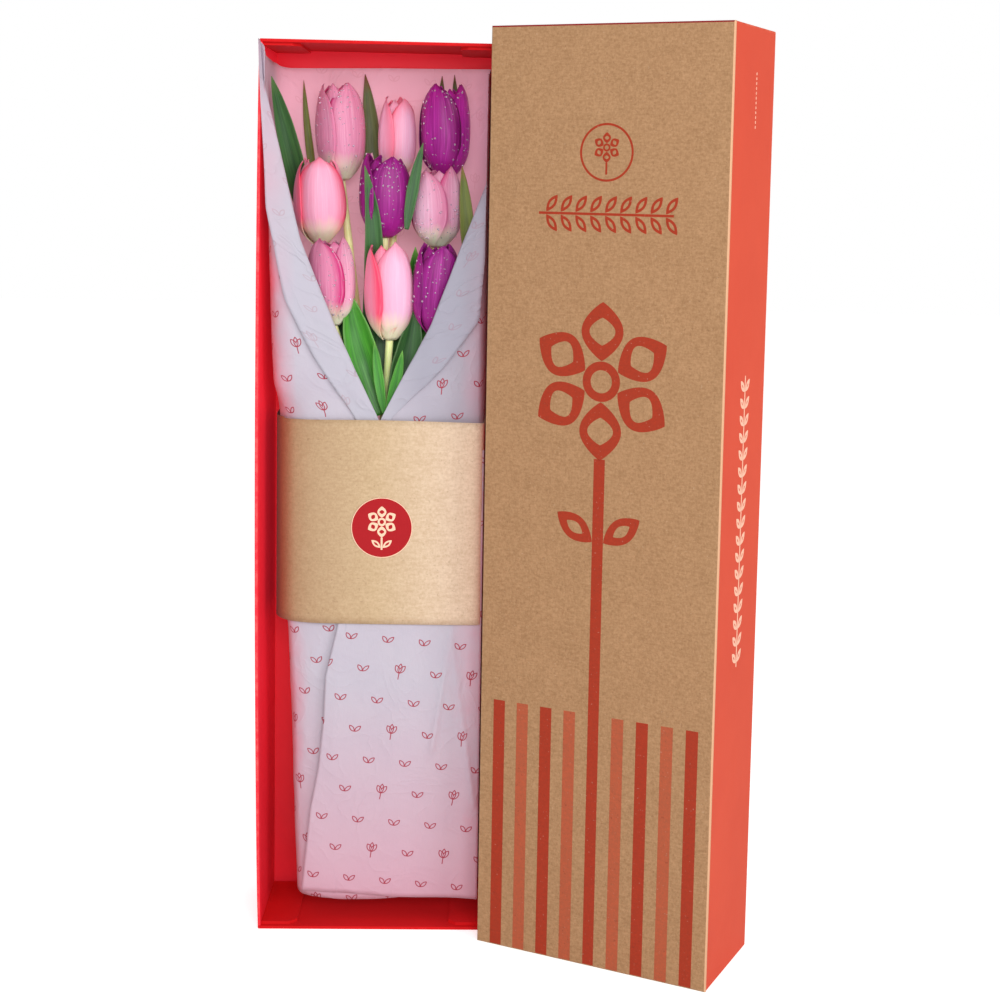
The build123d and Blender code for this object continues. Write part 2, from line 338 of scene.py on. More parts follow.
def tissue_print_group() -> bpy.types.NodeTree:
    """Build the tissue's outlined print: staggered rows of sprigs, every fourth one a small bud.

    Returns:
        The group's tree. Place is on the flat sheet in metres, and Ink is 1 on a printed line.
    """
    group = ShaderGroup("tissue_print", {"Place": "Vector", "Line": "Float"}, {"Ink": "Float"})
    kit, given = group.kit, group.given
    pitch_x, pitch_y = 25.0 * MM, 21.4 * MM
    turned = kit.stretch(given["Place"], (1.0, 1.0, 1.0), math.radians(5.0), (0.006, 0.004, 0.0))
    x, y, _ = kit.split(turned)
    row_place = kit.math("DIVIDE", y, pitch_y)
    row = kit.math("FLOOR", row_place)
    odd_row = kit.math("FLOORED_MODULO", row, 2.0)
    column_place = kit.plus(kit.math("DIVIDE", x, pitch_x), kit.times(odd_row, 0.5))
    column = kit.math("FLOOR", column_place)
    local_x = kit.times(kit.minus(kit.math("FRACT", column_place), 0.5), pitch_x)
    local_y = kit.times(kit.minus(kit.math("FRACT", row_place), 0.5), pitch_y)
    place = kit.join(kit.size(local_x), local_y)

    def leaf(tip: tuple[float, float], foot: tuple[float, float], width: float) -> bpy.types.NodeSocket:
        """Return the distance to the outline of a pointed leaf, in metres.

        Args:
            tip: The leaf's tip, in millimetres.
            foot: The leaf's other end.
            width: The leaf's width.

        Returns:
            The distance socket.
        """
        length = math.dist(tip, foot)
        radius = ((length / 2) ** 2 + (width / 2) ** 2) / width
        off = radius - width / 2
        middle = ((tip[0] + foot[0]) / 2, (tip[1] + foot[1]) / 2)
        side = ((tip[1] - foot[1]) / length, (foot[0] - tip[0]) / length)
        reach = []
        for sign in (-1, 1):
            centre = ((middle[0] + sign * off * side[0]) * MM, (middle[1] + sign * off * side[1]) * MM, 0.0)
            reach.append(kit.vector("DISTANCE", place, centre))
        return kit.size(kit.minus(kit.most(*reach), radius * MM))

    sprig = leaf((3.7, 1.9), (0.25, -1.9), 2.3)
    side_petal = leaf((3.1, 4.2), (0.0, -0.9), 2.9)
    middle_petal = leaf((0.0, 5.5), (0.0, -0.9), 2.6)
    stalk = kit.most(kit.size(local_x),
                     kit.minus(kit.size(kit.plus(local_y, 3.1 * MM)), 2.0 * MM))
    bud = kit.least(kit.least(side_petal, middle_petal), kit.most(stalk, 0.0))
    even = kit.times(kit.minus(1.0, odd_row),
                    kit.math("FLOORED_MODULO", column, 2.0))
    nearest = kit.plus(kit.times(bud, even),
                       kit.times(sprig, kit.minus(1.0, even)))
    spread = kit.times(kit.math("DIVIDE", nearest, given["Line"]), 2.0)
    kit.put(group.result["Ink"], kit.minus(2.0, spread, clamp=True))
    return group.tree


@dataclass
class Effects:
    """The node groups that the finishes share, each built once."""

    fibre: bpy.types.NodeTree = field(default_factory=paper_fibre_group)
    wear: bpy.types.NodeTree = field(default_factory=edge_wear_group)
    veins: bpy.types.NodeTree = field(default_factory=streak_group)
    tissue_print: bpy.types.NodeTree = field(default_factory=tissue_print_group)


EFFECTS = Effects()


@dataclass(frozen=True)
class Box:
    """A box that a finish measures its edges from: its middle, half size and turn about Z."""

    middle: tuple[float, float, float]
    half: tuple[float, float, float]
    turn: float = 0.0

    def place(self, kit: NodeKit) -> bpy.types.NodeSocket:
        """Return object coordinates measured from the box's middle, along its own sides."""
        coordinates = kit.place()
        centre = Matrix.Rotation(self.turn, 3, "Z") @ Vector(self.middle)
        return kit.stretch(coordinates, (1.0, 1.0, 1.0), self.turn, tuple(-centre))


class Finish:
    """A material made from nodes round one Principled shader."""

    def begin(self, name: str, **sockets: Value) -> tuple:
        """Start a material.

        Args:
            name: The material's name.
            **sockets: Even values for the shader's own sockets, with _ for a space.

        Returns:
            The material, its node kit and its shader.
        """
        material = bpy.data.materials.new(name)
        material.use_nodes = True
        material.cycles.emission_sampling = "NONE"
        kit = NodeKit(material.node_tree)
        shader = material.node_tree.nodes["Principled BSDF"]
        for socket, value in sockets.items():
            shader.inputs[socket.replace("_", " ")].default_value = value
        return material, kit, shader

    def relief(self, kit: NodeKit, shader: bpy.types.Node, height: Value, depth: float) -> None:
        """Give the shader a bumpy normal from a height, depth metres high."""
        bump = kit.add("ShaderNodeBump")
        bump.inputs["Strength"].default_value = 1.0
        bump.inputs["Distance"].default_value = depth
        kit.put(bump.inputs["Height"], height)
        kit.put(shader.inputs["Normal"], bump.outputs[0])


@dataclass(frozen=True)
class CoatedBoard(Finish):
    """Board with a printed, coated face: nearly even colour, soft shine, rubbed folds."""

    name: str
    face: Colour
    deep: Colour
    rubbed: Colour
    box: Box
    roughness: float = 0.42
    coat: float = 0.15
    # Strength of the painted glow that stands in for red light bouncing inside the tray; 0 for none.
    painted_bounce_glow: float = 0.0

    def make(self) -> bpy.types.Material:
        """Make the coated board.

        Returns:
            Its material.
        """
        material, kit, shader = self.begin(self.name, Coat_Weight=self.coat, Coat_Roughness=0.3,
                                           Specular_IOR_Level=0.3)
        # Painted glow: an emission in the face colour stands in for red light bouncing inside the tray,
        # fading out towards the bottom.
        shader.inputs["Emission Color"].default_value = self.face
        place = self.box.place(kit)
        if self.painted_bounce_glow:
            _, _, z = kit.split(place)
            kit.put(shader.inputs["Emission Strength"], kit.times(kit.fade(z, -0.25, -0.05), self.painted_bounce_glow))
        cloud = kit.fade(kit.noise(place, 9.0, 4.0, 0.6), 0.3, 0.7)
        base = kit.mix(cloud, self.face, self.deep)
        wear = kit.use(EFFECTS.wear, Position=place, Half_Size=self.box.half, Width=1.6 * MM)["Wear"]
        kit.put(shader.inputs["Base Color"], kit.mix(wear, base, self.rubbed))
        grain = kit.noise(place, 900.0, 2.0, 0.6)
        rough = kit.plus(kit.times(grain, 0.08), kit.times(wear, 0.25))
        kit.put(shader.inputs["Roughness"], kit.plus(self.roughness, rough))
        flutes = kit.noise(kit.stretch(place, (330.0, 330.0, 7.0)), 1.0, 1.0, 0.5)
        warp = kit.noise(place, 22.0, 2.0, 0.5)
        height = kit.plus(kit.times(grain, 0.05), kit.plus(kit.times(flutes, 0.10), warp))
        self.relief(kit, shader, height, 0.5 * MM)
        return material


@dataclass(frozen=True)
class KraftBoard(Finish):
    """Unbleached board face, with a dark red line at its top fold, the coral painted darker as shade, and a
    pale one at a side fold.
    """

    name: str
    pulp: Colour
    shade: Colour
    speck: Colour
    box: Box
    top_line: Optional[Colour] = None
    side_line: Optional[Colour] = None

    def make(self) -> bpy.types.Material:
        """Make the kraft board.

        Returns:
            Its material.
        """
        material, kit, shader = self.begin(self.name, Roughness=0.85, Specular_IOR_Level=0.25)
        place = self.box.place(kit)
        fibre = kit.use(EFFECTS.fibre, Position=place, Pulp=self.pulp, Shade=self.shade, Speck=self.speck,
                        Amount=0.8)
        colour = fibre["Colour"]
        wear = kit.use(EFFECTS.wear, Position=place, Half_Size=self.box.half, Width=1.5 * MM)["Wear"]
        colour = kit.mix(kit.times(wear, 0.5), colour, paint(214, 182, 148))
        x, _, z = kit.split(place)
        # Painted shade: the dark red top line stands in for the coral top wall in shade.
        if self.top_line:
            band = kit.math("GREATER_THAN", z, self.box.half[2] - 1.1 * MM)
            colour = kit.mix(band, colour, self.top_line)
        if self.side_line:
            band = kit.math("GREATER_THAN", x, self.box.half[0] - 0.8 * MM)
            colour = kit.mix(band, colour, self.side_line)
        kit.put(shader.inputs["Base Color"], colour)
        flutes = kit.noise(kit.stretch(place, (330.0, 330.0, 6.0)), 1.0, 1.0, 0.5)
        self.relief(kit, shader, kit.plus(fibre["Height"], kit.times(flutes, 1.2)), 0.10 * MM)
        return material


@dataclass(frozen=True)
class PrintedInk(Finish):
    """Ink on kraft board: flat colour with the board's fibres showing through."""

    name: str
    ink: Colour
    board: Colour
    show: float
    box: Box

    def make(self) -> bpy.types.Material:
        """Return the ink's material."""
        material, kit, shader = self.begin(self.name, Roughness=0.7, Specular_IOR_Level=0.3)
        place = self.box.place(kit)
        fibre = kit.use(EFFECTS.fibre, Position=place, Pulp=self.ink, Shade=self.board,
                        Speck=paint(96, 40, 24), Amount=self.show)
        kit.put(shader.inputs["Base Color"], fibre["Colour"])
        self.relief(kit, shader, fibre["Height"], 0.06 * MM)
        return material


@dataclass(frozen=True)
class KraftPaper(Finish):
    """The smooth wrapping paper of the band, with fine fibres and a slight shine, and shade painted in:
    darker at its left.
    """

    name: str
    half_width: float = 70.6 * MM
    # Painted shade and light: dark and reddish at the band's curved left end, lighter towards the right.
    shading: tuple = ((0.0, paint(112, 66, 52)), (0.045, paint(178, 132, 108)), (0.11, paint(206, 190, 168)),
                      (0.5, paint(232, 226, 208)), (0.85, paint(255, 255, 255)))

    def make(self) -> bpy.types.Material:
        """Return the band paper's material."""
        material, kit, shader = self.begin(self.name, Specular_IOR_Level=0.4, Sheen_Weight=0.08)
        place = kit.place()
        fibre = kit.use(EFFECTS.fibre, Position=place, Pulp=paint(226, 202, 176), Shade=paint(196, 166, 134),
                        Speck=paint(150, 112, 80), Amount=0.75)
        x, _, _ = kit.split(place)
        # The painted shade ramp across the band is multiplied into the paper.
        turned = kit.ramp(kit.fade(x, -self.half_width, self.half_width), *self.shading)
        kit.put(shader.inputs["Base Color"], kit.mix(1.0, fibre["Colour"], turned, "MULTIPLY"))
        kit.put(shader.inputs["Roughness"], kit.plus(0.5, kit.times(fibre["Height"], 0.15)))
        self.relief(kit, shader, fibre["Height"], 0.05 * MM)
        return material


@dataclass(frozen=True)
class Tissue(Finish):
    """Thin printed tissue: one side inked, the other with the print ghosting through."""

    name: str
    ink_strength: float
    sheet: Colour = paint(190, 183, 195)
    ink: Colour = paint(158, 0, 44)
    # Colour of the painted glow that stands in for red light from the board.
    glow: Colour = paint(226, 132, 156)
    # Strength of the painted light glowing through the paper at the back; 0 for none.
    light_through: float = 0.0
    creased: float = 0.2
    # Strength of the lid's painted shadow on the tissue.
    shaded: float = 0.4
    # Strength of the painted red glow at the sides of the sheet.
    side_glow: float = 1.0

    def make(self) -> bpy.types.Material:
        """Make the tissue.

        Returns:
            Its material.
        """
        material, kit, shader = self.begin(self.name, Roughness=0.6, Specular_IOR_Level=0.3, Sheen_Weight=0.1)
        flat = kit.uv("flat")
        printed = kit.use(EFFECTS.tissue_print, Place=flat, Line=0.44 * MM)["Ink"]
        cloud = kit.fade(kit.noise(flat, 30.0, 4.0, 0.6), 0.3, 0.7)
        pulp = kit.noise(flat, 2600.0, 2.0, 0.7)
        sheet = kit.mix(kit.times(cloud, 0.5), self.sheet, paint(182, 174, 190))
        sheet = kit.mix(kit.times(pulp, 0.12), sheet, paint(220, 214, 220))
        x, y, z = kit.split(kit.place())
        # Painted shadow of the lid: the sheet darkens towards the right, above the band.
        lid_shadow_mask = kit.times(kit.fade(x, 0.0, 30.0 * MM), kit.fade(z, 0.33, 0.35))
        sheet = kit.mix(kit.times(lid_shadow_mask, self.shaded), sheet, paint(140, 138, 154))
        # Painted red glow from the board on the paper.
        sheet = kit.mix(self.painted_board_glow(kit, x, y, z), sheet, self.glow)
        inked = kit.times(printed, self.ink_strength)
        kit.put(shader.inputs["Base Color"], kit.mix(inked, sheet, self.ink))
        crumple = kit.noise(flat, 55.0, 3.0, 0.55, 0.6)
        ridged = kit.size(kit.minus(kit.noise(flat, 26.0, 2.0, 0.5, 1.4), 0.5))
        crease = kit.math("POWER", kit.minus(1.0, kit.times(ridged, 2.0), clamp=True), 9.0)
        fine = kit.noise(kit.stretch(flat, (900.0, 200.0, 1.0)), 1.0, 2.0, 0.5)
        folds = kit.plus(kit.times(crease, self.creased), kit.times(fine, 0.05))
        # Painted light: an emission at the back of the sheet stands in for light coming through the thin
        # paper.
        shader.inputs["Emission Color"].default_value = paint(226, 172, 186)
        lit = kit.times(kit.fade(y, 8.0 * MM, 33.0 * MM), self.light_through)
        kit.put(shader.inputs["Emission Strength"], lit)
        self.relief(kit, shader, kit.plus(kit.times(crumple, 0.5), folds), 1.1 * MM)
        return material

    def painted_board_glow(self, kit: NodeKit, x: Value, y: Value, z: Value) -> bpy.types.NodeSocket:
        """Find how much painted red glow, standing in for red light from the board, tints the paper: most at
        the back, the sides and the foot.

        Args:
            kit: The material's nodes.
            x, y, z: The place on the object.

        Returns:
            The share of the glow, 0 to 1.
        """
        back = kit.times(kit.fade(y, 0.0, 33.0 * MM), 0.62)
        narrow = kit.times(kit.fade(z, 0.23, 0.19), 9.0 * MM)
        reach = kit.plus(kit.size(x), narrow)
        patchy = kit.fade(kit.noise(kit.join(x, y, z), 26.0, 3.0, 0.6), 0.2, 0.75)
        leftward = kit.minus(1.0, kit.times(kit.fade(x, -20.0 * MM, 20.0 * MM), 0.55))
        strength = kit.times(patchy, kit.times(leftward, self.side_glow))
        sides = kit.times(kit.fade(reach, 54.0 * MM, 72.0 * MM), strength)
        foot = kit.times(kit.fade(z, 0.17, 0.0), 0.5)
        return kit.most(kit.most(back, sides), foot)


class PetalTone(Enum):
    """The three tulip colours: foot, body, edge, dark vein and flame."""

    SALMON = (paint(248, 232, 196), paint(255, 196, 224), paint(255, 66, 102), paint(255, 104, 150))
    DUSTY = (paint(242, 240, 208), paint(255, 200, 224), paint(204, 40, 120), paint(176, 24, 98))
    PURPLE = (paint(184, 36, 152), paint(234, 62, 208), paint(128, 0, 104), paint(92, 0, 78))


@dataclass(frozen=True)
class Petal(Finish):
    """A tulip petal: pale foot, soft body, deeper edges, fine veins and a satin bloom."""

    tone: PetalTone
    flush: float = 0.55

    def make(self) -> bpy.types.Material:
        """Make the petal.

        Returns:
            Its material.
        """
        foot, body, edge, vein = self.tone.value
        material, kit, shader = self.begin(f"petal_{self.tone.name.lower()}", Roughness=0.42,
                                           Specular_IOR_Level=0.3, Subsurface_Weight=0.25,
                                           Subsurface_Scale=2.0 * MM, Sheen_Weight=0.04, Sheen_Roughness=0.4)
        shader.inputs["Subsurface Radius"].default_value = (1.0, 0.45, 0.5)
        place = kit.uv("petal")
        seed = kit.add("ShaderNodeAttribute", attribute_name="tone").outputs["Fac"]
        across, length, _ = kit.split(place)
        veins = kit.use(EFFECTS.veins, Place=place, Count=34.0, Seed=kit.times(seed, 9.0))
        from_middle = kit.from_middle(across)
        rim = kit.math("POWER", from_middle, 1.7)
        tip = kit.fade(length, 0.78, 1.0)
        shade = kit.most(rim, kit.times(tip, 0.6))
        deep = kit.times(shade, kit.plus(0.55, kit.times(seed, 0.8)), clamp=True)
        flushed = kit.times(kit.fade(seed, 0.55, 0.95), self.flush)
        # Per bloom, the colour is pulled towards the edge colour: deeper colour on one bloom, painted shade
        # on two purple blooms.
        deep_tone_and_shade = kit.add("ShaderNodeAttribute", attribute_name="deep_tone_and_shade").outputs["Fac"]
        colour = kit.mix(kit.most(kit.most(deep, flushed), deep_tone_and_shade), body, edge)
        strength = {PetalTone.SALMON: 0.24, PetalTone.DUSTY: 0.42, PetalTone.PURPLE: 0.6}[self.tone]
        colour = kit.mix(kit.times(kit.minus(1.0, veins["Vein"]), strength), colour, vein)
        light = kit.times(kit.fade(veins["Height"], 0.56, 0.72), 0.25)
        pale = 0.08 if self.tone is PetalTone.PURPLE else 0.35
        colour = kit.mix(light, colour, kit.mix(pale, body, (1.0, 1.0, 1.0, 1.0)))
        ragged = kit.plus(length, kit.times(kit.minus(veins["Vein"], 0.5), 0.12))
        lower = kit.minus(1.0, kit.fade(ragged, 0.06, 0.30))
        kit.put(shader.inputs["Base Color"], kit.mix(lower, colour, foot))
        self.relief(kit, shader, veins["Height"], 0.3 * MM)
        return material


class LeafTone(Enum):
    """The leaf greens: body, shade and edge."""

    DARK = (paint(74, 124, 64), paint(20, 62, 32), paint(104, 140, 72))
    BRIGHT = (paint(92, 182, 58), paint(14, 88, 22), paint(140, 200, 90))
    OLIVE = (paint(128, 140, 52), paint(78, 92, 30), paint(158, 110, 60))
    TIPPED = (paint(104, 118, 52), paint(60, 76, 30), paint(150, 70, 44))


@dataclass(frozen=True)
class Leaf(Finish):
    """A tulip leaf: long veins, shade painted down its folded middle and a tinted rim."""

    tone: LeafTone

    def make(self) -> bpy.types.Material:
        """Make the leaf.

        Returns:
            Its material.
        """
        body, shade, rim = self.tone.value
        material, kit, shader = self.begin(f"leaf_{self.tone.name.lower()}", Roughness=0.38,
                                           Coat_Weight=0.12, Coat_Roughness=0.35)
        place = kit.uv("petal")
        across, length, _ = kit.split(place)
        veins = kit.use(EFFECTS.veins, Place=place, Count=26.0, Seed=3.0)
        from_middle = kit.from_middle(across)
        colour = kit.mix(kit.minus(1.0, veins["Vein"]), body, shade)
        colour = kit.mix(kit.times(kit.fade(from_middle, 0.8, 1.0), 0.35), colour, rim)
        # Painted shade in the fold down the middle of the leaf.
        painted_fold_shade = kit.minus(1.0, kit.fade(from_middle, 0.0, 0.16))
        colour = kit.mix(kit.times(painted_fold_shade, 0.5), colour, shade)
        colour = kit.mix(kit.times(kit.fade(length, 0.86, 1.0), 0.7), colour, rim)
        kit.put(shader.inputs["Base Color"], colour)
        self.relief(kit, shader, veins["Height"], 0.3 * MM)
        return material


@dataclass(frozen=True)
class Stalk(Finish):
    """A tulip stem, pale and slightly ridged."""

    name: str = "stem_green"

    def make(self) -> bpy.types.Material:
        """Return the stem's material."""
        material, kit, shader = self.begin(self.name, Roughness=0.4, Subsurface_Weight=0.1,
                                           Subsurface_Scale=1.5 * MM)
        place = kit.place()
        ridges = kit.noise(kit.stretch(place, (1400.0, 1400.0, 25.0)), 1.0, 2.0, 0.5)
        _, _, z = kit.split(place)
        height = kit.fade(z, 0.33, 0.41)
        colour = kit.mix(height, paint(126, 168, 74), paint(255, 255, 196))
        ridged = kit.mix(kit.fade(ridges, 0.35, 0.7), colour, paint(240, 250, 160))
        kit.put(shader.inputs["Base Color"], ridged)
        self.relief(kit, shader, ridges, 0.2 * MM)
        return material


@dataclass(frozen=True)
class PlainGrain(Finish):
    """A plain moulded or coated surface with fine grain and faint clouds."""

    name: str
    colour: Colour
    other: Colour
    roughness: float = 0.5
    cloud: float = 40.0

    def make(self) -> bpy.types.Material:
        """Return the grained material."""
        material, kit, shader = self.begin(self.name, Roughness=self.roughness)
        place = kit.place()
        clouds = kit.fade(kit.noise(place, self.cloud, 3.0, 0.6), 0.3, 0.7)
        kit.put(shader.inputs["Base Color"], kit.mix(clouds, self.colour, self.other))
        self.relief(kit, shader, kit.noise(place, 1100.0, 2.0, 0.6), 0.05 * MM)
        return material


@dataclass(frozen=True)
class Dew(Finish):
    """A drop of water."""

    name: str = "dew"

    def make(self) -> bpy.types.Material:
        """Return the water's material."""
        return self.begin(self.name, Roughness=0.04, IOR=1.33, Transmission_Weight=0.7,
                          Base_Color=(1.0, 0.86, 0.97, 1.0), Coat_Weight=0.5)[0]


# ---------------------------------------------------------------------------- mesh building


def finish_mesh(name: str, build: bmesh.types.BMesh, materials: Sequence[bpy.types.Material],
                smooth_faces: bool = True) -> bpy.types.Object:
    """Turn a bmesh into a shown object at the origin.

    Args:
        name: The object's name.
        build: The mesh being built, which is freed.
        materials: Its material slots.
        smooth_faces: Whether its faces shade smoothly.

    Returns:
        The new object.
    """
    mesh = bpy.data.meshes.new(name)
    for face in build.faces:
        face.smooth = smooth_faces
    build.to_mesh(mesh)
    build.free()
    piece = bpy.data.objects.new(name, mesh)
    for material in materials:
        mesh.materials.append(material)
    bpy.context.scene.collection.objects.link(piece)
    return piece


def shaped_grid(build: bmesh.types.BMesh, columns: int, rows: int,
                shape: Callable[[float, float], tuple[float, float, float]],
                flat: Optional[Callable[[float, float], tuple[float, float]]] = None,
                uv_name: str = "petal") -> list:
    """Lay a grid into the mesh and move it onto a surface.

    Args:
        build: The mesh being built.
        columns: Faces across.
        rows: Faces along.
        shape: The surface's point for across and along, each 0 to 1.
        flat: The flat place written to the UV map, or across and along themselves.
        uv_name: The UV map's name.

    Returns:
        The new vertices.
    """
    uv = build.loops.layers.uv.get(uv_name) or build.loops.layers.uv.new(uv_name)
    made = bmesh.ops.create_grid(build, x_segments=columns, y_segments=rows, size=0.5)["verts"]
    share = {vert: (vert.co.x + 0.5, vert.co.y + 0.5) for vert in made}
    for face in {face for vert in made for face in vert.link_faces}:
        for loop in face.loops:
            across, along = share[loop.vert]
            loop[uv].uv = flat(across, along) if flat else (across, along)
    for vert, (across, along) in share.items():
        vert.co = shape(across, along)
    return made


def thicken(piece: bpy.types.Object, thickness: float, offset: float = 0.0, inner_material: int = 0,
            levels: int = 0) -> bpy.types.Object:
    """Give a sheet its thickness, and smooth it.

    Args:
        piece: The sheet.
        thickness: The sheet's thickness.
        offset: Where the thickness goes, -1 inwards to 1 outwards.
        inner_material: How many slots further on the inner side's material is.
        levels: Subdivision levels, or 0 for none.

    Returns:
        The same piece.
    """
    if levels:
        surface = piece.modifiers.new("smooth", "SUBSURF")
        surface.levels = levels
        surface.render_levels = levels
    wall = piece.modifiers.new("thickness", "SOLIDIFY")
    wall.thickness = thickness
    wall.offset = offset
    wall.use_even_offset = False
    wall.material_offset = inner_material
    return piece


def dress(node: str, material: bpy.types.Material) -> None:
    """Give a carried-over solid its material."""
    mesh = frame["nodes"][node].data
    mesh.materials.clear()
    mesh.materials.append(material)


def settle(piece: bpy.types.Object, slot: str, body: str, *nodes: str) -> bpy.types.Object:
    """Let a piece ride on its body, and hide the plain solids it stands for.

    Args:
        piece: The piece.
        slot: Its material slot's name; not used.
        body: The body it moves with.
        nodes: The plain solids it replaces, if any.

    Returns:
        The same piece.
    """
    if nodes:
        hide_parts(*nodes)
    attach(piece, body)
    return piece


@dataclass
class LidFrame:
    """The turned lid's own directions and size, read from its face panel."""

    turn: float = 0.0
    middle: Vector = field(default_factory=Vector)
    half: tuple[float, float, float] = (0.0, 0.0, 0.0)

    @classmethod
    def read(cls) -> "LidFrame":
        """Measure the lid from its solids.

        Returns:
            The lid's frame: its turn, its middle and its half size.
        """
        places = [vert.co for vert in frame["nodes"]["lid_face_panel"].data.vertices]
        mean = sum(places, Vector()) / len(places)
        wide = sum((p.x - mean.x) ** 2 for p in places)
        deep = sum((p.y - mean.y) ** 2 for p in places)
        both = sum((p.x - mean.x) * (p.y - mean.y) for p in places)
        turn = -0.5 * math.atan2(2 * both, wide - deep)
        across = Vector((math.cos(turn), -math.sin(turn), 0.0))
        back = Vector((math.sin(turn), math.cos(turn), 0.0))
        walls = [vert.co for name in ("lid_face_panel", "lid_left_wall", "lid_right_wall", "lid_top_wall")
                 for vert in frame["nodes"][name].data.vertices]
        spans = [(min(p.dot(axis) for p in walls), max(p.dot(axis) for p in walls))
                 for axis in (across, back)]
        height = max(p.z for p in walls)
        centre = across * (sum(spans[0]) / 2) + back * (sum(spans[1]) / 2)
        centre.z = height / 2
        half = tuple((high - low) / 2 for low, high in spans)
        return cls(turn, centre, (*half, height / 2))

    @property
    def box(self) -> Box:
        """The lid as a box for its finishes."""
        return Box(tuple(self.middle), self.half, self.turn)

    def placing(self, side: bool) -> Matrix:
        """Place flat artwork on the lid: X to the right of its panel, Y up and Z outwards.

        Args:
            side: Whether it goes on the right side, or else on the face.

        Returns:
            The matrix from artwork to the lid.
        """
        across = Vector((math.cos(self.turn), -math.sin(self.turn), 0.0))
        back = Vector((math.sin(self.turn), math.cos(self.turn), 0.0))
        right, outward, reach = (back, across, self.half[0]) if side else (across, -back, self.half[1])
        origin = self.middle + outward * reach
        origin.z = 0.0
        place = Matrix((right, Vector((0.0, 0.0, 1.0)), outward)).transposed().to_4x4()
        place.translation = origin
        return place


class Artwork:
    """Flat printed shapes, laid out in their own plane in metres."""

    fullness = 0.57
    side_points = 28
    side_margin = 1.8

    def __init__(self) -> None:
        """Start with nothing drawn."""
        self.build = bmesh.new()

    def bar(self, left: float, right: float, low: float, high: float) -> None:
        """Draw an upright rectangle."""
        made = bmesh.ops.create_grid(self.build, x_segments=1, y_segments=8, size=0.5)["verts"]
        for vert in made:
            vert.co = Vector((lerp(left, right, vert.co.x + 0.5), lerp(low, high, vert.co.y + 0.5), 0.0))

    def loop(self, points: Sequence[tuple[float, float]]) -> list:
        """Draw a closed line and return its edges."""
        verts = bmesh.ops.create_circle(self.build, cap_ends=False, segments=len(points), radius=1.0)["verts"]
        edges = {edge for vert in verts for edge in vert.link_edges}
        for vert, (x, y) in zip(verts, points):
            vert.co = (x, y, 0.0)
        return list(edges)

    def outline(self, outer: Sequence[tuple[float, float]], inner: Sequence[tuple[float, float]]) -> None:
        """Fill the space between two closed lines with as many points."""
        bmesh.ops.bridge_loops(self.build, edges=self.loop(outer) + self.loop(inner))

    def ring(self, x: float, y: float, radius: float, line: float, segments: int = 96) -> None:
        """Draw a ring with that line width, centred on the radius."""
        def circle(size: float) -> list:
            """Return the points of a circle."""
            turns = [math.tau * i / segments for i in range(segments)]
            return [(x + size * math.cos(turn), y + size * math.sin(turn)) for turn in turns]
        self.outline(circle(radius + line / 2), circle(radius - line / 2))

    def petal(self, foot: tuple[float, float], angle: float, length: float, width: float,
              line: float) -> None:
        """Draw a pointed petal in outline.

        Args:
            foot: Where it starts.
            angle: Its direction from upright, clockwise.
            length: Its length.
            width: Its greatest width.
            line: The line's width, inside the outline.
        """
        def side(inset: float) -> list:
            """Return the outline, inset evenly."""
            half_width = width / 2 - inset
            start, end = inset * self.side_margin, length - inset * self.side_margin
            points = []
            for sign in (1, -1):
                for i in range(self.side_points):
                    t = i / self.side_points if sign > 0 else 1 - i / self.side_points
                    bulge = math.sin(math.pi * t) ** 0.85
                    along, off = lerp(start, end, t), sign * half_width * bulge
                    points.append((foot[0] + along * math.sin(angle) + off * math.cos(angle),
                                   foot[1] + along * math.cos(angle) - off * math.sin(angle)))
            return points
        self.outline(side(0.0), side(line))

    def blossom(self, x: float, y: float, size: float, line: float, petals: int = 6) -> None:
        """Draw an open blossom in outline: a ring with petals round it.

        Args:
            x, y: Its middle.
            size: Its radius.
            line: The line's width.
            petals: How many petals it has.
        """
        heart = size * 0.2
        self.ring(x, y, heart, line)
        for i in range(petals):
            angle = math.tau * i / petals
            gap = heart + line * 0.55
            foot = (x + gap * math.sin(angle), y + gap * math.cos(angle))
            self.petal(foot, angle, size - gap, size * self.fullness, line)

    def lay(self, name: str, place: Matrix, thickness: float,
            material: bpy.types.Material) -> bpy.types.Object:
        """Give the artwork a film's thickness and put it in place.

        Args:
            name: The piece's name.
            place: The matrix from artwork to the object.
            thickness: The film's thickness.
            material: Its finish.

        Returns:
            The printed piece.
        """
        bmesh.ops.remove_doubles(self.build, verts=self.build.verts, dist=1e-7)
        bmesh.ops.recalc_face_normals(self.build, faces=self.build.faces)
        for face in self.build.faces:
            if face.normal.z < 0:
                face.normal_flip()
        film = bmesh.ops.extrude_face_region(self.build, geom=self.build.faces[:])
        lifted = [item for item in film["geom"] if isinstance(item, bmesh.types.BMVert)]
        bmesh.ops.translate(self.build, verts=lifted, vec=(0.0, 0.0, thickness))
        bmesh.ops.recalc_face_normals(self.build, faces=self.build.faces)
        bmesh.ops.transform(self.build, matrix=place, verts=self.build.verts)
        return finish_mesh(name, self.build, [material], smooth_faces=False)


# ---------------------------------------------------------------------------- the carton


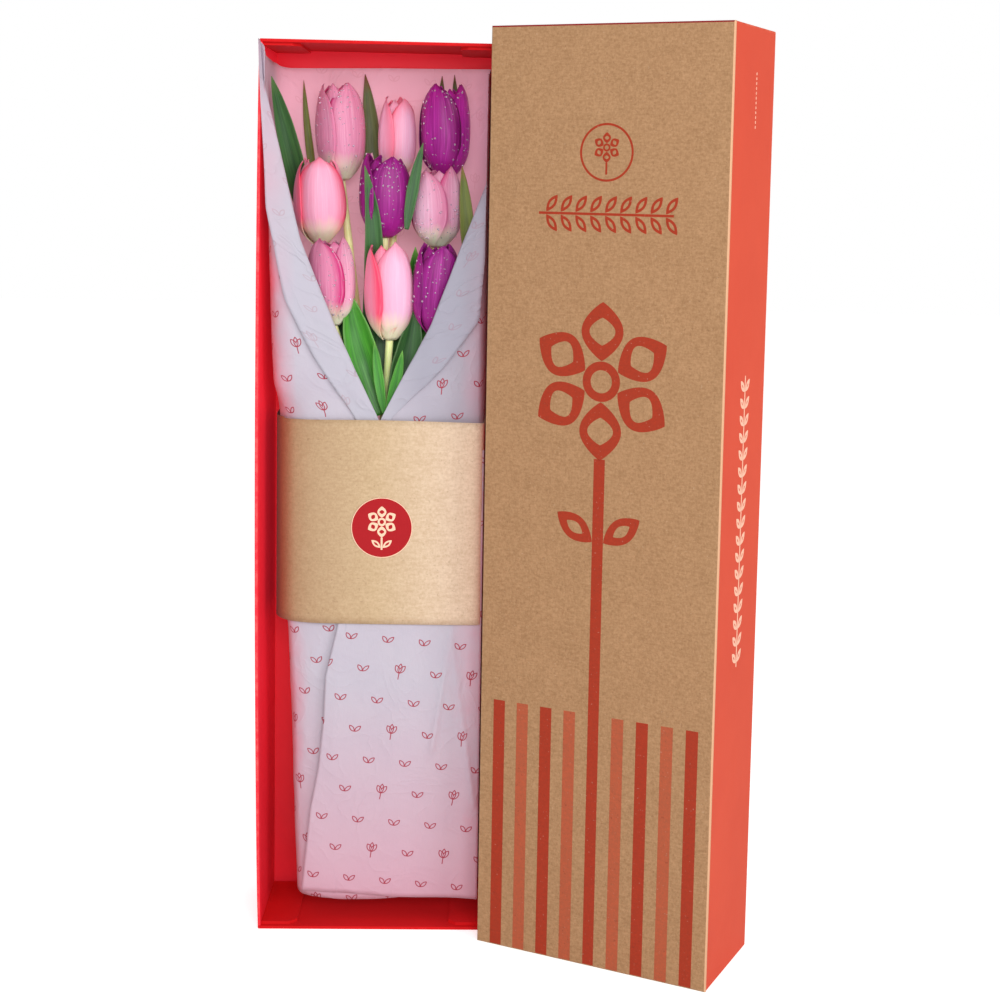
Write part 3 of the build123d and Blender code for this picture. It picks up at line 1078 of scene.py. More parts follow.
@dataclass
class Tray:
    """The red inner half of the carton."""

    bow: float = 2.6 * MM
    edge_round: float = 0.35 * MM
    red: Colour = paint(214, 0, 8)
    deep_red: Colour = paint(202, 0, 6)
    # Lighter copies of the red: painted light for the left wall and the back panel.
    lit_red: Colour = paint(246, 38, 58)
    deep_lit_red: Colour = paint(238, 30, 48)

    def make(self) -> list:
        """Dress the tray's walls, and bend its free left wall.

        Returns:
            The new pieces.
        """
        low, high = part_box("tray_back_panel")
        front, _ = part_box("tray_left_wall")
        middle = ((low.x + high.x) / 2, (front.y + high.y) / 2, high.z / 2)
        box = Box(middle, ((high.x - low.x) / 2, (high.y - front.y) / 2, high.z / 2))
        board = CoatedBoard("tray_red", self.red, self.deep_red, paint(220, 36, 42), box, 0.75, 0.0).make()
        # Painted light: the left wall and the back panel get the lighter red and the painted bounce glow.
        wall = CoatedBoard("tray_red_painted_lit", self.lit_red, self.deep_lit_red, paint(240, 90, 90), box,
                           0.5, 0.1, 0.16).make()
        for node in ("tray_right_wall", "tray_top_wall", "tray_bottom_wall", "tray_corner_tabs"):
            dress(node, board)
        dress("tray_back_panel", wall)
        return [self.bowed_wall(wall)]

    def bowed_wall(self, board: bpy.types.Material) -> bpy.types.Object:
        """Make the left wall, whose free edge bows outwards at half height.

        Args:
            board: The wall's material, a lighter red with light painted in.

        Returns:
            The wall.
        """
        low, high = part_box("tray_left_wall")
        build = bmesh.new()
        bmesh.ops.create_cube(build, size=1.0)
        bmesh.ops.scale(build, vec=high - low, verts=build.verts)
        bmesh.ops.translate(build, vec=(low + high) / 2, verts=build.verts)
        upright = [e for e in build.edges if abs(e.verts[0].co.z - e.verts[1].co.z) > 0.1]
        bmesh.ops.subdivide_edges(build, edges=upright, cuts=40, use_grid_fill=True)
        deep = [e for e in build.edges if abs(e.verts[0].co.y - e.verts[1].co.y) > 0.02]
        bmesh.ops.subdivide_edges(build, edges=deep, cuts=8, use_grid_fill=True)
        for vert in build.verts:
            height = max(math.sin(math.pi * (vert.co.z - low.z) / (high.z - low.z)), 0.0)
            free = max((high.y - vert.co.y) / (high.y - low.y), 0.0)
            vert.co.x -= self.bow * height ** 0.7 * free ** 1.5
        sharp = [e for e in build.edges if e.is_manifold and e.calc_face_angle() > 1.0]
        bmesh.ops.bevel(build, geom=sharp, offset=self.edge_round, segments=2, profile=0.5, affect="EDGES",
                        material=-1)
        wall = finish_mesh("tray_left_wall_board", build, [board])
        return settle(wall, "red_board", "tray", "tray_left_wall")


@dataclass
class Lid:
    """The kraft outer half of the carton, with its printed artwork."""

    frame: LidFrame
    film: float = 0.05 * MM
    foot: float = 1.0 * MM
    stripe_width: float = 8.2 * MM
    stripe_pitch: float = 17.0 * MM
    stripe_top: float = 0.1695
    flower_height: float = 0.3865
    flower_size: float = 0.0505
    leaf_height: float = 0.283
    line: float = 7.6 * MM
    mark_height: float = 0.5305
    mark_radius: float = 17.5 * MM

    def make(self) -> list:
        """Dress the lid's panels and print its face and its side.

        Returns:
            The printed pieces.
        """
        box = self.frame.box
        pulp = (paint(182, 141, 103), paint(144, 106, 71), paint(110, 76, 50))
        # The dark red top line is the coral painted darker as shade.
        kraft = KraftBoard("lid_kraft", *pulp, box, paint(140, 34, 32), paint(214, 166, 130)).make()
        coral = CoatedBoard("lid_coral", paint(218, 80, 52), paint(210, 72, 46), paint(236, 130, 100), box,
                            0.66, 0.02).make()
        inner = KraftBoard("lid_inner", *pulp, box).make()
        dress("lid_face_panel", kraft)
        for node in ("lid_left_wall", "lid_right_wall", "lid_top_wall", "lid_bottom_wall"):
            dress(node, coral)
        dress("lid_corner_tabs", inner)
        strong = PrintedInk("ink_strong", paint(168, 50, 22), paint(142, 46, 22), 0.6, box).make()
        light = PrintedInk("ink_light", paint(184, 86, 54), paint(156, 82, 54), 0.8, box).make()
        pale = PrintedInk("ink_pale", paint(244, 196, 170), paint(236, 170, 140), 0.5, box).make()
        return [self.stripes(strong, 0), self.stripes(light, 1), self.flower(strong), self.mark(strong),
                self.side_ornament(pale)]

    def printed(self, art: Artwork, name: str, ink: bpy.types.Material,
                side: bool = False) -> bpy.types.Object:
        """Lay artwork on the lid's face or its right side, and let it ride there."""
        slot = "coral_board" if side else "kraft_board"
        return settle(art.lay(name, self.frame.placing(side), self.film, ink), slot, "lid")

    def stripes(self, ink: bpy.types.Material, parity: int) -> bpy.types.Object:
        """Print every second stripe of the lower band; the middle place is the stem's.

        Args:
            ink: The stripes' ink.
            parity: 0 for the dark stripes and 1 for the light ones.

        Returns:
            The stripes.
        """
        art = Artwork()
        for place in range(-4, 5):
            if place != 0 and (place + 4) % 2 == parity:
                left = place * self.stripe_pitch - self.stripe_width / 2
                art.bar(left, left + self.stripe_width, self.foot, self.stripe_top)
        return self.printed(art, f"lid_stripes_{'dark' if parity == 0 else 'light'}", ink)

    def flower(self, ink: bpy.types.Material) -> bpy.types.Object:
        """Print the tall outlined flower whose stem runs down to the lower edge."""
        art = Artwork()
        art.blossom(0.0, self.flower_height, self.flower_size, self.line * 0.72)
        top = self.flower_height - self.flower_size + 0.8 * MM
        art.bar(-self.line / 2, self.line / 2, self.foot, top)
        for sign in (-1, 1):
            foot = (sign * self.line * 0.52, self.leaf_height)
            art.petal(foot, sign * math.radians(55), 30.0 * MM, 16.0 * MM, self.line * 0.6)
        return self.printed(art, "lid_flower_print", ink)

    def mark(self, ink: bpy.types.Material) -> bpy.types.Object:
        """Print the small ringed blossom and the garland of leaves under it."""
        art = Artwork()
        art.ring(0.0, self.mark_height, self.mark_radius, 1.4 * MM)
        art.blossom(0.0, self.mark_height + 3.0 * MM, 9.5 * MM, 1.25 * MM)
        art.bar(-0.65 * MM, 0.65 * MM, self.mark_height - 13.8 * MM, self.mark_height - 6.4 * MM)
        base = self.mark_height - 0.0385
        art.bar(-0.046, 0.046, base - 0.8 * MM, base + 0.8 * MM)
        for step in range(-4, 5):
            for sign in (-1, 1):
                foot = (step * 10.2 * MM, base + sign * 1.0 * MM)
                art.petal(foot, math.radians(90 - sign * 54), 13.0 * MM, 5.6 * MM, 1.7 * MM)
        return self.printed(art, "lid_mark_print", ink)

    def side_ornament(self, ink: bpy.types.Material) -> bpy.types.Object:
        """Print a pale upright garland on the coral side."""
        art = Artwork()
        middle = 1.0 * MM
        art.bar(middle - 0.8 * MM, middle + 0.8 * MM, 0.203, 0.392)
        for step in range(17):
            for sign in (-1, 1):
                foot = (middle + sign * 1.0 * MM, 0.206 + step * 11.0 * MM)
                art.petal(foot, sign * math.radians(46), 10.5 * MM, 5.0 * MM, 1.9 * MM)
        for step in range(12):
            art.ring(middle + 3.0 * MM, 0.548 + step * 3.0 * MM, 0.6 * MM, 0.6 * MM, 16)
        return self.printed(art, "lid_side_print", ink, side=True)


# ---------------------------------------------------------------------------- band and tissue


def through(points: Sequence[Vector], counts: Sequence[int]) -> list:
    """Draw a soft line through points.

    Args:
        points: The points, each of which the line passes through.
        counts: How many steps each stretch between two points gets.

    Returns:
        The line's points.
    """
    line = []
    padded = [points[0] * 2 - points[1], *points, points[-1] * 2 - points[-2]]
    for i, count in enumerate(counts):
        before, start, end, after = padded[i:i + 4]
        span = (end - start).length
        first = (end - before) * span / max(span + (start - before).length, 1e-9)
        last = (after - start) * span / max((after - end).length + span, 1e-9)
        for step in range(count):
            t = step / count
            line.append(start * (2 * t ** 3 - 3 * t ** 2 + 1) + first * (t ** 3 - 2 * t ** 2 + t)
                        + end * (3 * t ** 2 - 2 * t ** 3) + last * (t ** 3 - t ** 2))
    line.append(points[-1])
    return line


@dataclass
class PaperSheet:
    """A sheet of paper shaped as one grid: columns across, rows up, with its flat places kept."""

    name: str
    rows: int
    columns: int = 0
    places: list = field(default_factory=list)

    def build(self, materials: Sequence[bpy.types.Material], thickness: float,
              turned: bool = False) -> bpy.types.Object:
        """Turn the sheet's places into a mesh.

        Args:
            materials: The outer and inner finishes.
            thickness: The paper's thickness.
            turned: Whether the columns run from right to left as seen from outside.

        Returns:
            The sheet.
        """
        run = [[0.0] * (self.columns + 1) for _ in range(self.rows + 1)]
        rise = [[0.0] * (self.columns + 1) for _ in range(self.rows + 1)]
        for j in range(self.rows + 1):
            for i in range(self.columns + 1):
                if i:
                    step = self.places[j][i] - self.places[j][i - 1]
                    run[j][i] = run[j][i - 1] + step.length
                if j:
                    step = self.places[j][i] - self.places[j - 1][i]
                    rise[j][i] = rise[j - 1][i] + step.length
            middle = run[j][self.columns // 2]
            run[j] = [value - middle for value in run[j]]
        self.run, self.rise = run, rise
        build = bmesh.new()

        def index(across: float, along: float) -> tuple[int, int]:
            """Return the row and column of a share across and along."""
            return round(along * self.rows), round(across * self.columns)

        def point(across: float, along: float) -> Vector:
            """Return the sheet's place."""
            j, i = index(across, along)
            return self.places[j][i]

        def flat(across: float, along: float) -> tuple[float, float]:
            """Return the flat place."""
            j, i = index(across, along)
            return run[j][i], self.places[j][i].z
        shaped_grid(build, self.columns, self.rows, point, flat, "flat")
        if not turned:
            bmesh.ops.reverse_faces(build, faces=build.faces)
        piece = finish_mesh(self.name, build, materials)
        return thicken(piece, thickness, 0.0, 1 if len(materials) > 1 else 0)

    def flat_size(self) -> tuple[float, float]:
        """Return the sheet's width and height, laid flat."""
        width = max(row[-1] - row[0] for row in self.run)
        return width, max(self.rise[-1])

    def declare_folded(self, piece: bpy.types.Object) -> bpy.types.Object:
        width, height = self.flat_size()
        min(self.flat_area(), width * height)
        return piece

    def flat_area(self) -> float:
        """Return the area of the sheet's places."""
        total = 0.0
        for low, high in zip(self.places, self.places[1:]):
            for i in range(self.columns):
                total += 0.5 * (low[i + 1] - low[i]).cross(high[i] - low[i]).length
                total += 0.5 * (high[i + 1] - high[i]).cross(high[i + 1] - low[i + 1]).length
        return total


@dataclass
class TissueWrap:
    """The printed sheet that wraps the whole bunch: its back, its sides and two folds with turned edges."""

    outer: bpy.types.Material
    inner: bpy.types.Material
    low: float = 16 * MM
    rows: int = 150
    crumple: float = 1.1 * MM
    left_edge: tuple = ((0.008, 34), (0.209, 26), (0.300, 14), (0.352, 0.5), (0.414, -29.0), (0.472, -52.0),
                        (0.574, -75.5), (0.600, -77.6))
    left_cuff: tuple = ((0.008, 30), (0.209, 18), (0.300, 4), (0.353, -15.7), (0.393, -42.5), (0.433, -62.0),
                        (0.491, -73.5), (0.560, -76.8), (0.600, -78.2))
    left_side: tuple = ((0.008, -55.0), (0.205, -61.0), (0.216, -62.0), (0.260, -67.0), (0.345, -69.0),
                        (0.365, -70.8), (0.420, -72.5), (0.520, -75.0), (0.600, -75.3))
    right_edge: tuple = ((0.008, -30), (0.209, -24), (0.300, -14), (0.352, 2.3), (0.416, 34.8), (0.466, 53.3),
                         (0.512, 70.8), (0.600, 71.0))
    right_cuff: tuple = ((0.008, -26), (0.209, -20), (0.300, -8), (0.353, 9.6), (0.386, 42.5), (0.420, 67.0),
                         (0.460, 70.0), (0.600, 70.2))
    right_side: float = 71.4
    front: tuple = ((0.008, -21.0), (0.150, -25.0), (0.205, -27.8), (0.220, -28.5), (0.345, -28.6),
                    (0.368, -31.4), (0.430, -33.4), (0.520, -34.8), (0.600, -38.9))
    counts: tuple = (10, 2, 12, 6, 8, 6, 14, 14, 6, 8, 6, 12, 2, 10)
    rise: float = 3.6
    held_corner: tuple = ((-44.0, -27.8), (-59.2, -20.6), (-67.4, -8.0))

    def section(self, z: float) -> list:
        """Return the key points of the sheet's section at one height.

        Args:
            z: The height.

        Returns:
            Points from the left cuff's free edge round the back to the right cuff's.
        """
        edge, cuff = along_points(self.left_edge, z), along_points(self.left_cuff, z)
        side, front = along_points(self.left_side, z), along_points(self.front, z)
        right_edge, right_cuff = along_points(self.right_edge, z), along_points(self.right_cuff, z)
        opened = smooth((z - 0.512) / 0.075)
        right_front = lerp(front, 6.0, opened)
        room = max(edge - side, 2.0)
        right_room = max(self.right_side - right_edge, 1.5)
        raised = self.rise * smooth((z - 0.360) / 0.05)
        corner = ((side + room * 0.35, front + 0.9 - raised),
                  (side + min(room * 0.12, 5.0), front + 5.0 - raised),
                  (side, front + 17.0 - raised))
        held = smooth((z - 0.206) / 0.032) * smooth((0.378 - z) / 0.028)
        proud = 1.0 - 0.6 * held
        corner = [tuple(lerp(a, b, held) for a, b in zip(*pair)) for pair in zip(corner, self.held_corner)]
        points = [
            (cuff, front - 1.6 * proud - raised),
            (edge, front - 0.9 * proud - raised * 0.15),
            (edge - 0.2, front - 0.1),
            *corner,
            (side + 1.0, 24.0),
            (side + 10.0, 33.2),
            (2.0, 33.7),
            (60.0, 33.0),
            (self.right_side, 22.0),
            (self.right_side, right_front + 14.0 - raised),
            (self.right_side - min(right_room * 0.25, 5.0), right_front + 3.2 - raised),
            (right_edge + 0.2, right_front - 1.0 * proud - raised * 0.15),
            (right_cuff, right_front - 2.3 * proud - raised),
        ]
        return [Vector((x * MM, y * MM, z)) for x, y in points]

    def make(self) -> bpy.types.Object:
        """Shape, crumple and build the sheet.

        Returns:
            The wrap.
        """
        sheet = PaperSheet("tissue_wrap", self.rows, sum(self.counts))
        back_start = sum(self.counts[:7])
        back_end = sum(self.counts[:9])
        for j in range(self.rows + 1):
            row = []
            for i in range(sheet.columns + 1):
                if i < back_start:
                    lift = smooth(1 - i / back_start)
                    top = lerp(0.586, 0.5995, lift)
                elif i > back_end:
                    top = lerp(0.588, 0.583, smooth((i - back_end) / (sheet.columns - back_end)))
                else:
                    top = lerp(0.586, 0.588, (i - back_start) / (back_end - back_start))
                bottom = self.low + 2.2 * MM * math.sin(i * 0.21) + 6.0 * MM * smooth((i - 55) / 8)
                z = lerp(bottom, top, j / self.rows)
                row.append((i, z))
            sheet.places.append(row)
        step = 2 * MM
        levels = [through(self.section(level * step), self.counts) for level in range(int(0.602 / step) + 2)]
        for j, row in enumerate(sheet.places):
            line = []
            for i, z in row:
                level = int(z / step)
                place = levels[level][i].lerp(levels[level + 1][i], z / step - level)
                place.z = z
                line.append(place + self.ruffle(place))
            sheet.places[j] = line
        piece = sheet.build([self.outer, self.inner], TISSUE_THICKNESS)
        settle(piece, "tissue", "bouquet", "tissue_back_sheet", "tissue_left_fold", "tissue_right_fold",
               "tissue_lower_wrap")
        return sheet.declare_folded(piece)

    def ruffle(self, place: Vector) -> Vector:
        """Return how far the sheet's crumples move a place.

        Args:
            place: The smooth sheet's place.

        Returns:
            The move, mostly inwards, and small at the sheet's free edges and under the band.
        """
        held = 1.0 - 0.85 * smooth((place.z - 0.19) / 0.02) * smooth((0.365 - place.z) / 0.02)
        soft = noise.noise(Vector((place.x * 28, place.y * 28, place.z * 11))) * 0.9
        creased = 0.55 - abs(noise.noise(Vector((place.x * 46 + 3, place.y * 46, place.z * 17 + 5)))) * 2.4
        free = 1.0 - 0.85 * smooth((place.x - 0.052) / 0.014)
        amount = self.crumple * held * free * (soft + creased * 0.5)
        inward = Vector((2 * MM - place.x, -place.y * 0.9, 0.0))
        if inward.length < 1e-6:
            return Vector()
        return inward.normalized() * (abs(amount) * 0.9)


@dataclass
class FrontSheet:
    """The second tissue sheet, tucked under the band and hanging over the lower stems."""

    outer: bpy.types.Material
    inner: bpy.types.Material
    rows: int = 96
    columns: int = 72
    left: tuple = ((0.010, -51.5), (0.022, -50.0), (0.080, -44.0), (0.110, -38.5), (0.145, -35.0),
                   (0.175, -33.8), (0.210, -25.7), (0.330, -20.0))
    right: float = 71.4
    top: float = 0.332
    bottom: tuple[float, float] = (0.0205, 0.0150)
    fall: float = 0.0035
    fall_from: float = -32.0
    depth: tuple = ((0.010, -22.5), (0.080, -26.0), (0.160, -28.6), (0.205, -29.8), (0.335, -30.3))
    creases: tuple = (((51.0, 0.205), (39.0, 0.125), 2.2, 3.0), ((51.0, 0.205), (68.0, 0.085), 2.0, 3.0),
                      ((-24.0, 0.208), (-30.0, 0.110), 7.0, 1.0), ((22.0, 0.200), (10.0, 0.100), 12.0, 1.2))

    def make(self) -> bpy.types.Object:
        """Shape and build the sheet.

        Returns:
            The sheet.
        """
        sheet = PaperSheet("tissue_front", self.rows, self.columns)
        for j in range(self.rows + 1):
            row = []
            for i in range(self.columns + 1):
                across = i / self.columns
                bottom = lerp(*self.bottom, across) + 0.7 * MM * math.sin(across * 9)
                z = lerp(bottom, self.top, j / self.rows)
                x = lerp(along_points(self.left, z), self.right, across)
                y = along_points(self.depth, z) + self.round_side(x, z)
                y += self.fold(x, z) + 0.5 * noise.noise(Vector((x * 0.035, z * 20, 1.0)))
                row.append(Vector((x * MM, y * MM, z)))
            sheet.places.append(row)
        piece = sheet.build([self.outer, self.inner], TISSUE_THICKNESS, turned=True)
        settle(piece, "tissue", "bouquet", "tissue_front_sheet")
        return sheet.declare_folded(piece)

    def round_side(self, x: float, z: float) -> float:
        """Return how far the sheet falls back towards its left side, in millimetres."""
        return self.fall * max(self.fall_from - x, 0.0) ** 2 * smooth((0.24 - z) / 0.1)

    def fold(self, x: float, z: float) -> float:
        """Return the height of the pressed creases, in millimetres.

        Args:
            x: The place across, in millimetres.
            z: The height, in metres.

        Returns:
            The move towards the front, negative.
        """
        total = 0.0
        for (x0, z0), (x1, z1), width, height in self.creases:
            along = Vector((x1 - x0, (z1 - z0) / MM))
            off = Vector((x - x0, (z - z0) / MM))
            share = min(max(off.dot(along) / along.length_squared, 0.0), 1.0)
            gap = (off - along * share).length
            total -= height * math.exp(-gap / width) * (0.35 + 0.65 * share)
        return total


@dataclass
class Band:
    """The kraft band round the wrap, and its sticker."""

    paper: bpy.types.Material
    thickness: float = 0.28 * MM
    rows: int = 24
    lift: float = 3.4 * MM
    arch: float = 1.1 * MM
    dent: float = 0.5 * MM

    def make(self) -> list:
        """Make the band as a closed loop of paper, and dress its sticker.

        Returns:
            The band and the sticker's print.
        """
        low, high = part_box("kraft_band")
        low.z += self.lift
        high.z += self.lift + 1.0 * MM
        left, right, front, back = (v / MM for v in (low.x, high.x + 0.5 * MM, low.y, high.y))
        sheet = PaperSheet("kraft_band_paper", self.rows)
        keys = [(30.0, back - 0.4), (left + 12.0, back - 0.4), (left + 1.0, back - 10.0), (left + 0.2, 3.0),
                (left + 2.0, -11.0), (left + 9.1, -22.0), (left + 19.6, -28.2), (left + 33.0, front + 0.9),
                (-12.0, front), (right - 7.0, front), (right - 1.2, front + 1.6), (right - 0.2, front + 8.0),
                (right - 0.2, back - 8.0), (right - 7.0, back - 0.4), (30.0, back - 0.4)]
        counts = (18, 8, 10, 10, 12, 10, 12, 16, 30, 6, 5, 18, 6, 10)
        sheet.columns = sum(counts)
        line = through([Vector((x * MM, y * MM, 0.0)) for x, y in keys], counts)
        for j in range(self.rows + 1):
            row = []
            for i, point in enumerate(line):
                share = j / self.rows
                z = lerp(low.z, high.z, share)
                place = Vector((point.x, point.y, z))
                if point.y < -20 * MM:
                    z += self.arch * share * math.sin(math.pi * (point.x - left * MM) / ((right - left) * MM))
                    dent = 0.5 + 0.5 * noise.noise(Vector((point.x * 22, z * 16, 2.0)))
                    place.y += self.dent * dent * math.sin(math.pi * share)
                    place.z = z - self.arch * share
                row.append(place)
            sheet.places.append(row)
        piece = sheet.build([self.paper], self.thickness)
        settle(piece, "kraft_paper", "band", "kraft_band")
        sheet.flat_size()
        return [piece, *self.sticker()]

    def sticker(self) -> list:
        """Make the round sticker with its pale rim and blossom.

        Returns:
            The sticker and its print.
        """
        low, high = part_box("band_sticker")
        middle_x, middle_z = (low.x + high.x) / 2, (low.z + high.z) / 2
        radius = (high.x - low.x) / 2
        red = PlainGrain("sticker_red", paint(172, 0, 18), paint(166, 0, 14), 0.85, 30.0).make()
        pale = PlainGrain("sticker_pale", paint(246, 208, 178), paint(240, 196, 164), 0.45, 30.0).make()
        dress("band_sticker", red)
        place = Matrix.Translation((middle_x, low.y, middle_z)) @ Matrix.Rotation(math.pi / 2, 4, "X")
        art = Artwork()
        art.ring(0.0, 0.0, radius - 0.25 * MM, 0.5 * MM)
        art.blossom(0.0, 4.0 * MM, 10.6 * MM, 1.35 * MM)
        art.bar(-0.65 * MM, 0.65 * MM, -15.0 * MM, -6.6 * MM)
        for sign in (-1, 1):
            art.petal((sign * 0.7 * MM, -13.6 * MM), sign * math.radians(50), 8.0 * MM, 3.6 * MM, 1.1 * MM)
        printed = art.lay("sticker_print", place, 0.04 * MM, pale)
        return [settle(printed, "sticker", "band")]


# ---------------------------------------------------------------------------- flowers


@dataclass
class Tulip:
    """One closed tulip: three outer and three inner petals round its axis."""

    node: str
    tone: PetalTone
    width: float
    spin: float
    flare: float = 0.0
    dew: int = 0
    seed: int = 1
    crumple: float = 0.5 * MM
    # How far the bloom is pulled towards its edge colour: deeper colour on one bloom, painted shade on two
    # purple blooms.
    deep_tone_and_shade: float = 0.0
    thickness: float = 0.45 * MM
    inner_radius: float = 0.87
    outer_spread: float = math.radians(74)
    inner_spread: float = math.radians(66)
    drop_sizes: tuple = (0.3, 0.35, 0.42, 0.52, 0.8)
    body: tuple = ((0.0, 0.26), (0.06, 0.50), (0.16, 0.78), (0.28, 0.94), (0.42, 1.0), (0.58, 1.0),
                   (0.72, 0.95), (0.85, 0.84), (0.94, 0.70), (1.0, 0.56))
    outline: tuple = ((0.0, 0.50), (0.15, 0.82), (0.35, 1.0), (0.58, 1.0), (0.75, 0.93), (0.87, 0.77),
                      (0.94, 0.56), (0.98, 0.34), (1.0, 0.12))

    def axis(self) -> tuple[Vector, Vector]:
        """Return the foot and the tip of the bloom's axis, read from its solid."""
        verts = [vert.co for vert in frame["nodes"][self.node].data.vertices]
        low, high = min(v.z for v in verts), max(v.z for v in verts)
        foot = [v for v in verts if v.z < low + 1.5 * MM]
        tip = [v for v in verts if v.z > high - 1.5 * MM]
        return sum(foot, Vector()) / len(foot), sum(tip, Vector()) / len(tip)

    def surface(self, inner: bool, spin: float, rise: float, luck: Random) -> Callable:
        """Return the shape of one petal.

        Args:
            inner: Whether it is one of the three inner petals.
            spin: Its direction round the axis.
            rise: Its length, as a share of the bloom's.
            luck: The bloom's own dice.

        Returns:
            A function from across and along to a place.
        """
        foot, tip = self.axis()
        length = (tip - foot).length * rise
        upright = (tip - foot).normalized()
        side = upright.orthogonal().normalized()
        other = upright.cross(side)
        radius = self.width / 2 * (self.inner_radius if inner else 1.0)
        crumple = self.crumple * (0.4 if inner else 1.0)
        spread = self.inner_spread if inner else self.outer_spread
        lean = luck.uniform(-0.06, 0.06)
        flare = self.flare + luck.uniform(-0.4, 0.6) * MM
        wave = luck.uniform(0, math.tau)

        def place(across: float, along: float) -> Vector:
            """Return the petal's place for across and along."""
            t = across * 2 - 1
            s = along
            bulge = radius * along_points(self.body, s)
            outline = along_points(self.outline, s)
            angle = spin + t * spread * outline + lean * s
            bulge += flare * smooth((s - 0.7) / 0.3) * (1 - 0.4 * abs(t))
            bulge += 1.0 * MM * t * (1 - 0.45 * s)
            bulge -= 0.22 * MM * math.exp(-(t / 0.14) ** 2) * math.sin(math.pi * s)
            bulge += 0.5 * MM * math.sin(wave + t * 3.2 + s * 4.0) * s
            ridge = noise.noise(Vector((t * 3.6, s * 1.3, wave * 3.0))) + 0.5 * noise.noise(
                Vector((t * 8.0, s * 2.5, wave * 5.0)))
            bulge += crumple * ridge * smooth(s / 0.35)
            height = length * (s - 0.035 * t * t * s) + self.crumple * 1.2 * s * noise.noise(
                Vector((t * 4.5, 2.0, wave * 2.0)))
            direction = side * math.cos(angle) + other * math.sin(angle)
            return foot + upright * (height - 1.6 * MM) + direction * bulge
        return place

    def make(self, petals: dict, dew: bpy.types.Material) -> list:
        """Build the tulip and its dew.

        Args:
            petals: The petal material of each tone.
            dew: The water's material.

        Returns:
            The bloom, and its drops if it has any.
        """
        luck = Random(self.seed)
        build = bmesh.new()
        tone = build.verts.layers.float.new("tone")
        deep_tone_and_shade = build.verts.layers.float.new("deep_tone_and_shade")
        for layer in (1, 0):
            for i in range(3):
                spin = self.spin + math.tau * i / 3 + (math.pi / 3 if layer else 0.0)
                rise = luck.uniform(0.94, 1.0) if layer else luck.uniform(0.97, 1.02)
                shape = self.surface(bool(layer), spin, rise, luck)
                shade = (i + self.seed) % 3 * 0.35 + luck.random() * 0.3
                for vert in shaped_grid(build, 14, 18, shape):
                    vert[tone] = shade
                    vert[deep_tone_and_shade] = self.deep_tone_and_shade
        piece = finish_mesh(self.node.replace("bloom", "tulip"), build, [petals[self.tone]])
        thicken(piece, self.thickness, -1.0, 0, 1)
        settle(piece, f"petal_{self.tone.name.lower()}", "bouquet", self.node)
        return [piece] + ([self.drops(piece, dew, luck)] if self.dew else [])

    def drop(self) -> bpy.types.Mesh:
        """Return one round drop, a metre in radius, to be copied and scaled."""
        build = bmesh.new()
        bmesh.ops.create_uvsphere(build, u_segments=8, v_segments=5, radius=1.0)
        mesh = bpy.data.meshes.new("drop")
        build.to_mesh(mesh)
        build.free()
        return mesh

    def drops(self, bloom: bpy.types.Object, dew: bpy.types.Material, luck: Random) -> bpy.types.Object:
        """Scatter small drops of water over the bloom's front.

        Args:
            bloom: The bloom they lie on.
            dew: Their material.
            luck: The bloom's own dice.

        Returns:
            The drops, as one piece.
        """
        foot, tip = self.axis()
        build = bmesh.new()
        faces = []
        for face in bloom.data.polygons:
            centre = Vector(face.center)
            axis_point = foot + (tip - foot) * ((centre - foot).dot(tip - foot) / (tip - foot).length_squared)
            outward = (centre - axis_point).normalized()
            normal = Vector(face.normal)
            if normal.dot(outward) < 0:
                normal.negate()
            if outward.y < 0.1 and normal.y < -0.15 and (centre - axis_point).length > self.width * 0.33:
                faces.append((centre, normal))
        drop = self.drop()
        for _ in range(self.dew):
            centre, normal = luck.choice(faces)
            size = luck.choice(self.drop_sizes) * MM
            tilt = normal.to_track_quat("Z", "Y").to_matrix().to_4x4()
            jitter = Vector((luck.uniform(-0.8, 0.8) * MM, 0.0, luck.uniform(-0.8, 0.8) * MM))
            place = Matrix.Translation(centre + normal * size * 0.25 + jitter) @ tilt
            one = drop.copy()
            one.transform(place @ Matrix.Diagonal((size, size, size * 0.62, 1.0)))
            build.from_mesh(one)
            bpy.data.meshes.remove(one)
        bpy.data.meshes.remove(drop)
        piece = finish_mesh(self.node.replace("bloom", "dew"), build, [dew])
        return settle(piece, f"petal_{self.tone.name.lower()}", "bouquet")


